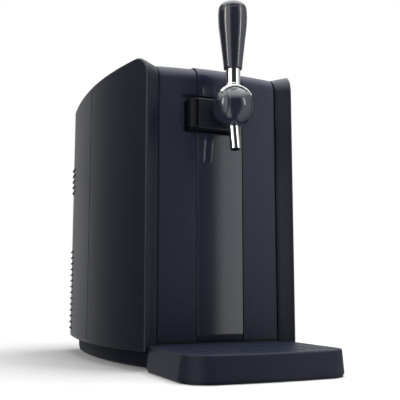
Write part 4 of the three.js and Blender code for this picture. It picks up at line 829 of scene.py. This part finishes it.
def block_plan():
    """Plan of the block: its back, its wide left bend and its right front corner."""
    wide, deep = BLOCK_BEND
    plan = [(BLOCK_LEFT, BLOCK_BACK)]
    plan += [(BLOCK_LEFT + wide * (1 - math.cos(a)), BLOCK_FRONT + deep * (1 - math.sin(a)))
             for a in quarter(12)]
    plan += arc(BLOCK_RIGHT - BLOCK_CORNER, BLOCK_FRONT + BLOCK_CORNER, BLOCK_CORNER, 270, 360, 6)
    return plan + [(BLOCK_RIGHT, BLOCK_BACK)]


def tap_block():
    """The block that carries the tap, black at its left end and navy on its face."""
    middle = (BLOCK_LEFT + BLOCK_RIGHT) / 2
    half = (BLOCK_RIGHT - BLOCK_LEFT) / 2
    edge = rounding(BLOCK_EDGE, 5)
    levels = [(BLOCK_LOW + up, inset) for up, inset in edge]
    levels += [(BLOCK_HIGH - down, inset) for down, inset in reversed(edge)]
    block = loft_object("tap_block_body", [
        [(middle + (x - middle) * (1 - inset / half), y if y == BLOCK_BACK else y + inset, z)
         for x, y in block_plan()] for z, inset in levels])
    carve(block, box_object("cutter", *BLOCK_GROOVE))
    finish_piece(block, "door", "black_plastic", block_black, "tap_block")
    block.data.materials.append(block_navy)
    for face in block.data.polygons:
        face.material_index = 1 if face.center.x * MM > BLOCK_FACE_LEFT else 0


# Tap ball, lever and spout, about the point on which the lever turns
TAP = Vector((0, -31.05, 320.2))
BALL_RADIUS = 25.2
BALL_HALF = 15.2
BALL_END = 15.7
CAP_RADIUS = 25.9
CAP_START = 16.5
CAP_INNER = 16
STRAP_RADII = (27.9, 25.9)
STRAP_BACK = -12
STRAP_FRONT = -8.5
STRAP_HUB = 17.5
STRAP_END = 55
SPOUT_LEAN = math.radians(9.5)
SPOUT_AXIS = (0, -math.sin(SPOUT_LEAN), -math.cos(SPOUT_LEAN))
SPOUT_TOP = TAP + Vector((0, 3.2, 0))
SPOUT_BORE_SEEN = 5.6


def tap_ball():
    """The ball, flat where the lever's caps close it, and the stem that joins it to the block."""
    ring = math.sqrt(BALL_RADIUS ** 2 - BALL_HALF ** 2)
    end = math.degrees(math.acos(BALL_HALF / BALL_RADIUS))
    closing = [(0, BALL_END), (3.3, BALL_END), (ring - 0.6, BALL_END), (ring - 0.15, BALL_END - 0.15)]
    profile = [(radius, -far) for radius, far in closing]
    profile += [(BALL_RADIUS * math.sin(math.radians(a)), -BALL_RADIUS * math.cos(math.radians(a)))
                for a in spread(end, 180 - end, 25)]
    ball = revolve_object("tap_ball", profile + closing[::-1], (1, 0, 0), TAP, steps=96)
    finish_piece(ball, "door", "gloss_navy", tap_gloss, "tap_body")
    stem = revolve_object(
        "tap_stem", [(0, 6), (13.9, 6), (13.9, 21.6), (14.2, 22.4), (15.6, 23.2), (15.6, 24.2), (0, 24.2)],
        (0, 1, 0), TAP)
    finish_piece(stem, "door", "gloss_navy", tap_gloss)


def lever():
    """The caps at the ball's sides, the strap over it and the neck that takes the handle."""
    ring = math.sqrt(CAP_RADIUS ** 2 - CAP_START ** 2)
    start = math.degrees(math.acos(CAP_START / CAP_RADIUS))
    profile = [(0, CAP_INNER), (ring - 0.7, CAP_INNER), (ring - 0.2, CAP_INNER + 0.15)]
    profile += [(CAP_RADIUS * math.sin(math.radians(a)), CAP_RADIUS * math.cos(math.radians(a)))
                for a in spread(start, 0, 17)]
    for side, direction in (("right", 1), ("left", -1)):
        cap = revolve_object(f"lever_cap_{side}_shell", profile, (direction, 0, 0), TAP, steps=96)
        finish_piece(cap, "lever", "gloss_navy", tap_gloss, f"lever_cap_{side}")

    outer, inner = STRAP_RADII
    rings = []
    for turn in (math.radians(t) for t in spread(-STRAP_END, STRAP_END, 49)):
        hub = max(math.cos(turn * 2.6), 0) ** 1.5 if abs(turn) < 0.6 else 0
        far = STRAP_FRONT + STRAP_HUB * hub
        line = [(y, math.sqrt(outer ** 2 - y * y)) for y in spread(STRAP_BACK, far, 12)]
        line += [(y, math.sqrt(inner ** 2 - y * y)) for y in spread(far, STRAP_BACK, 12)]
        rings.append([(TAP.x + r * math.sin(turn), TAP.y + y, TAP.z + r * math.cos(turn)) for y, r in line])
    strap = loft_object("lever_strap", rings)
    soften(strap, 0.5, segments=3, degrees=50)
    finish_piece(strap, "lever", "chrome", chrome, "lever_yoke")
    neck = revolve_object("lever_neck", [
        (0, 25.9), (9.8, 25.9), (9.7, 27.2), (9.4, 28.1), (9.25, 28.9), (9.2, 29.6), (9.2, 46.8), (8.9, 47.2),
        (5, 47.2), (5, 59), (0, 59)], (0, 0, 1), TAP)
    finish_piece(neck, "lever", "chrome", chrome)


def spout():
    """The chrome tube with its dark bore, and the collar that it comes out of."""
    tube = revolve_object("spout_tube", [
        (5.3, 16), (6.5, 15.5), (6.5, 55), (6.35, 55.5), (6, 55.7), (5.5, 55.6), (5.3, 55.2), (5.3, 16)],
        SPOUT_AXIS, SPOUT_TOP)
    finish_piece(tube, "door", "chrome", chrome, "spout")
    tube.data.materials.append(black)
    for face in tube.data.polygons:
        off_axis = (face.center - place(*SPOUT_TOP)).cross(Vector(SPOUT_AXIS)).length
        face.material_index = 1 if off_axis * MM < SPOUT_BORE_SEEN else 0
    collar = revolve_object(
        "spout_collar", [(0, 18), (8, 18), (8, 25.4), (7.7, 26.1), (7.1, 26.5), (0, 26.5)],
        SPOUT_AXIS, SPOUT_TOP)
    finish_piece(collar, "door", "gloss_navy", tap_gloss)


# Handle, from the height of its foot above the tap's middle; the dome is radius, foot and rise
FOOT = 47.2
HANDLE_LENGTH = 89.7
GRIP_FOOT_RADIUS = 11.4
GRIP_SWELL = 6.9
GRIP_SHARES = [(0.02, 0.02), (0.095, 0.116), (0.183, 0.246), (0.27, 0.377), (0.357, 0.507), (0.446, 0.638),
               (0.533, 0.783), (0.621, 0.913), (0.69, 0.972), (0.751, 1), (0.82, 0.995), (0.855, 0.96)]
CAP_SEAM = 77
DOME = (17.75, 78.1, 11.6)


def handle():
    """The grip, whose radius swells by shares up its length, and its domed top cap."""
    grip_line = smooth_line(
        [(GRIP_FOOT_RADIUS + GRIP_SWELL * swell, up * HANDLE_LENGTH) for up, swell in GRIP_SHARES], 5)
    profile = [(5.3, 0.3), (9.6, 0.3), (10.6, 0.45), (11.2, 0.9)] + grip_line
    profile += [(17.75, CAP_SEAM), (17.3, CAP_SEAM + 0.15), (11.3, CAP_SEAM + 0.15), (11.3, CAP_SEAM - 4),
                (5.3, CAP_SEAM - 4), (5.3, 0.3)]
    foot = TAP + Vector((0, 0, FOOT))
    grip = revolve_object("handle_grip_body", profile, (0, 0, 1), foot, steps=96)
    finish_piece(grip, "handle", "gloss_navy", tap_gloss, "handle_grip")
    radius, low, rise = DOME
    dome = [(0, CAP_SEAM - 3.7), (11, CAP_SEAM - 3.7), (11, CAP_SEAM + 0.45), (17.3, CAP_SEAM + 0.45),
            (17.65, CAP_SEAM + 0.6)]
    dome += [(radius * math.cos(a), low + rise * math.sin(a)) for a in quarter(15)]
    cap = revolve_object("handle_cap_dome", dome, (0, 0, 1), foot, steps=96)
    finish_piece(cap, "handle", "gloss_navy", tap_gloss, "handle_cap")


# Drip tray
TRAY_HALF = 99.5
TRAY_FRONT = -137
TRAY_REAR = -0.8
TRAY_CORNER = 36
TRAY_CORNER_INNER = 27
TRAY_CORNER_SLOPE = 1.874
TRAY_BOW = 2.5
TRAY_LEAN = 2.9 / 24.4
TRAY_RIM_LOW = 27.4
TRAY_RIM_INSET = 2.85
TRAY_RIM_ROUND = 2.6
TRAY_REAR_ROUND = 0.9
TONGUE = (-81, -3.3, 3, 81, 12.4, 30)


def tray_plan(inset, rear_inset):
    """Plan of the tray at a level, from the middle of its front round by the right."""
    half, front = TRAY_HALF - inset, TRAY_FRONT + inset
    radius = max(TRAY_CORNER_INNER - inset, TRAY_CORNER - TRAY_CORNER_SLOPE * inset)
    corner = arc(half - radius, front + radius + TRAY_BOW, radius, -78, 0, 18)
    end = corner[0][0]
    bow = [(share * end, front + TRAY_BOW * (1.4 * share ** 2 - 0.164 * share ** 6))
           for share in spread(0, 0.94, 12)]
    right = bow + corner + [(half, y) for y in (-60, -30, TRAY_REAR - rear_inset)]
    return right + [(-x, y) for x, y in reversed(right[1:])]


def tray_levels():
    """Height, inset and rear inset of each level: foot, outer wall, round rim, ledge and basin."""
    levels = [(0.0, 2.4, 0), (0.4, 2, 0), (2.6, 2, 0), (2.8, 1.2, 0), (3, 0.2, 0), (3.4, 0, 0)]
    levels += [(z, TRAY_LEAN * (z - 3.4), 0) for z in (9, 15, 21)]
    levels += [(TRAY_RIM_LOW + TRAY_RIM_ROUND * math.sin(a),
                TRAY_RIM_INSET + TRAY_RIM_ROUND * (1 - math.cos(a)),
                TRAY_REAR_ROUND * (1 - math.cos(a))) for a in quarter(6)]
    return levels + [(30, 10.3, 5.3), (29.8, 10.8, 5.8), (29.3, 11, 6), (27.1, 11, 6), (27.1, 16, 11),
                     (6, 16.4, 11.4), (5.5, 17, 12)]


def drip_tray():
    """The tray and the tongue that runs back over the plinth."""
    tub = loft_object("tray_tub_body", [
        [(x, y, z) for x, y in tray_plan(inset, rear_inset)] for z, inset, rear_inset in tray_levels()])
    finish_piece(tub, "tray", "casing", tray_navy, "tray_tub")
    tongue = box_object("tray_tongue", *TONGUE)
    soften(tongue, 1.2, segments=3)
    finish_piece(tongue, "tray", "casing", tray_navy)


side_shells()
base_pan()
rear_cover()
louvre_hoods()
louvre_shade_sheets()
door_wings()
column_panel()
column_crown()
display()
tap_block()
tap_ball()
lever()
spout()
handle()
drip_tray()

# Floor: lit near the object so that it keeps a shadow, plain white further off, unseen in reflections
FLOOR_REACH = 12
FLOOR_DROP = 0.0002
FLOOR_LIT = 0.9
FLOOR_SEEN = 0.55
FLOOR_LIFT = 0.12
FADE_START = 0.27
FADE_END = 0.66


def floor_material():
    """Diffuse with a slight glow near the object, mixed to a white glow with distance."""
    material = bpy.data.materials.new("floor")
    material.use_nodes = True
    tree = material.node_tree
    tree.nodes.clear()
    link = tree.links.new
    path = add_node(tree, "LightPath")
    tone = add_node(tree, "MixRGB", Color1=grey(FLOOR_LIT), Color2=grey(FLOOR_SEEN))
    link(path.outputs["Is Camera Ray"], tone.inputs["Fac"])
    lit = add_node(tree, "BsdfDiffuse")
    link(tone.outputs["Color"], lit.inputs["Color"])
    lift = tree.nodes.new("ShaderNodeMath")
    lift.operation = "MULTIPLY"
    lift.inputs[1].default_value = FLOOR_LIFT
    link(path.outputs["Is Camera Ray"], lift.inputs[0])
    near_glow = add_node(tree, "Emission")
    link(lift.outputs[0], near_glow.inputs["Strength"])
    near = add_node(tree, "AddShader")
    link(lit.outputs[0], near.inputs[0])
    link(near_glow.outputs[0], near.inputs[1])

    at = add_node(tree, "TexCoord")
    distance = tree.nodes.new("ShaderNodeVectorMath")
    distance.operation = "LENGTH"
    link(at.outputs["Object"], distance.inputs[0])
    fade = add_node(tree, "MapRange", From_Min=FADE_START, From_Max=FADE_END)
    link(distance.outputs["Value"], fade.inputs["Value"])
    far_share = tree.nodes.new("ShaderNodeMath")
    far_share.operation = "MULTIPLY"
    link(path.outputs["Is Camera Ray"], far_share.inputs[0])
    link(fade.outputs["Result"], far_share.inputs[1])
    white = add_node(tree, "Emission", Strength=1)
    seen = add_node(tree, "MixShader")
    link(far_share.outputs[0], seen.inputs["Fac"])
    link(near.outputs[0], seen.inputs[1])
    link(white.outputs[0], seen.inputs[2])

    unseen = add_node(tree, "BsdfTransparent")
    mirrored = add_node(tree, "MixShader")
    link(path.outputs["Is Glossy Ray"], mirrored.inputs["Fac"])
    link(seen.outputs[0], mirrored.inputs[1])
    link(unseen.outputs[0], mirrored.inputs[2])
    link(mirrored.outputs[0], add_node(tree, "OutputMaterial").inputs["Surface"])
    return material


def add_floor():
    """One wide square, a hair below the feet."""
    mesh = bpy.data.meshes.new("floor")
    corners = [(x * FLOOR_REACH, y * FLOOR_REACH, 0) for x, y in ((-1, -1), (1, -1), (1, 1), (-1, 1))]
    mesh.from_pydata(corners, [], [(0, 1, 2, 3)])
    floor = bpy.data.objects.new("floor", mesh)
    bpy.context.scene.collection.objects.link(floor)
    floor.location.z = -FLOOR_DROP
    dress(floor, floor_material())


add_floor()

# World: white to the camera, and to reflections a studio with soft boxes at the sides
STUDIO = 1.6
SOFT_LIGHT = 0.31
CEILING_START = 0.56
CEILING_FULL = 0.88
CEILING = 2.1

# Brightness in reflections at each turn from the front, in degrees to the right
AROUND = [
    (-180, 0.85), (-165, 0.68), (-152, 0.26), (-140, 0.05), (-115, 0.05), (-96, 0.12), (-84, 0.6), (-76, 1.6),
    (-46, 1.6), (-41, 0.04), (19, 0.03), (23, 0.1), (25, 0.75), (30, 0.95), (62, 0.95), (88, 0.6), (98, 0.3),
    (125, 0.4), (180, 0.85),
]


def studio_colour(tree):
    """Socket with the studio's brightness by direction: round about by AROUND, and a light ceiling."""
    link = tree.links.new
    coordinates = add_node(tree, "TexCoord")
    split = add_node(tree, "SeparateXYZ")
    link(coordinates.outputs["Generated"], split.inputs[0])
    forward = tree.nodes.new("ShaderNodeMath")
    forward.operation = "MULTIPLY"
    forward.inputs[1].default_value = -1
    link(split.outputs["Y"], forward.inputs[0])
    azimuth = tree.nodes.new("ShaderNodeMath")
    azimuth.operation = "ARCTAN2"
    link(split.outputs["X"], azimuth.inputs[0])
    link(forward.outputs[0], azimuth.inputs[1])
    turn = add_node(tree, "MapRange", From_Min=-math.pi, From_Max=math.pi)
    link(azimuth.outputs[0], turn.inputs["Value"])
    around = add_node(tree, "ValToRGB")
    link(turn.outputs["Result"], around.inputs["Fac"])
    while len(around.color_ramp.elements) < len(AROUND):
        around.color_ramp.elements.new(0.5)
    for element, (degrees, level) in zip(around.color_ramp.elements, AROUND):
        element.position = (degrees + 180) / 360
        element.color = grey(level / STUDIO)
    upward = add_node(tree, "MapRange", From_Min=CEILING_START, From_Max=CEILING_FULL, To_Max=CEILING)
    link(split.outputs["Z"], upward.inputs["Value"])
    both = add_node(tree, "MixRGB", Fac=1)
    both.blend_type = "LIGHTEN"
    link(around.outputs["Color"], both.inputs["Color1"])
    link(upward.outputs["Result"], both.inputs["Color2"])
    return both.outputs["Color"]


def add_world():
    """Soft light for all rays, the studio for reflections and white for the camera."""
    world = bpy.data.worlds.new("studio")
    bpy.context.scene.world = world
    world.use_nodes = True
    tree = world.node_tree
    tree.nodes.clear()
    link = tree.links.new
    path = add_node(tree, "LightPath")
    soft = add_node(tree, "Background", Color=grey(1), Strength=SOFT_LIGHT)
    studio = add_node(tree, "Background", Strength=STUDIO)
    link(studio_colour(tree), studio.inputs["Color"])
    seen = add_node(tree, "Background", Color=grey(1))
    unseen = add_node(tree, "MixShader")
    link(path.outputs["Is Glossy Ray"], unseen.inputs["Fac"])
    link(soft.outputs[0], unseen.inputs[1])
    link(studio.outputs[0], unseen.inputs[2])
    surface = add_node(tree, "MixShader")
    link(path.outputs["Is Camera Ray"], surface.inputs["Fac"])
    link(unseen.outputs[0], surface.inputs[1])
    link(seen.outputs[0], surface.inputs[2])
    link(surface.outputs[0], add_node(tree, "OutputWorld").inputs["Surface"])


def soft_box(name, at, towards, width, height, watts):
    """A rectangular lamp aimed at a point."""
    data = bpy.data.lights.new(name, "AREA")
    data.shape = "RECTANGLE"
    data.size = width
    data.size_y = height
    data.energy = watts
    lamp = bpy.data.objects.new(name, data)
    lamp.location = at
    lamp.rotation_euler = (Vector(towards) - Vector(at)).to_track_quat("-Z", "Y").to_euler()
    bpy.context.scene.collection.objects.link(lamp)
    return lamp


CASE_MIDDLE = (0, 0, 0.2)
TAP_SIDE = (0, -0.1, 0.3)

add_world()
soft_box("top_box", (0.4, -0.1, 2.2), CASE_MIDDLE, 1.4, 1.4, 80).visible_glossy = False
soft_box("left_box", (-2.0, 0.6, 2.1), CASE_MIDDLE, 1.2, 1.2, 4.5)
soft_box("left_strip", (-2.15, -0.35, 1.1), TAP_SIDE, 0.16, 1.3, 11)
soft_box("right_strip", (1.5, -1.75, 1.1), TAP_SIDE, 0.14, 1.3, 8)
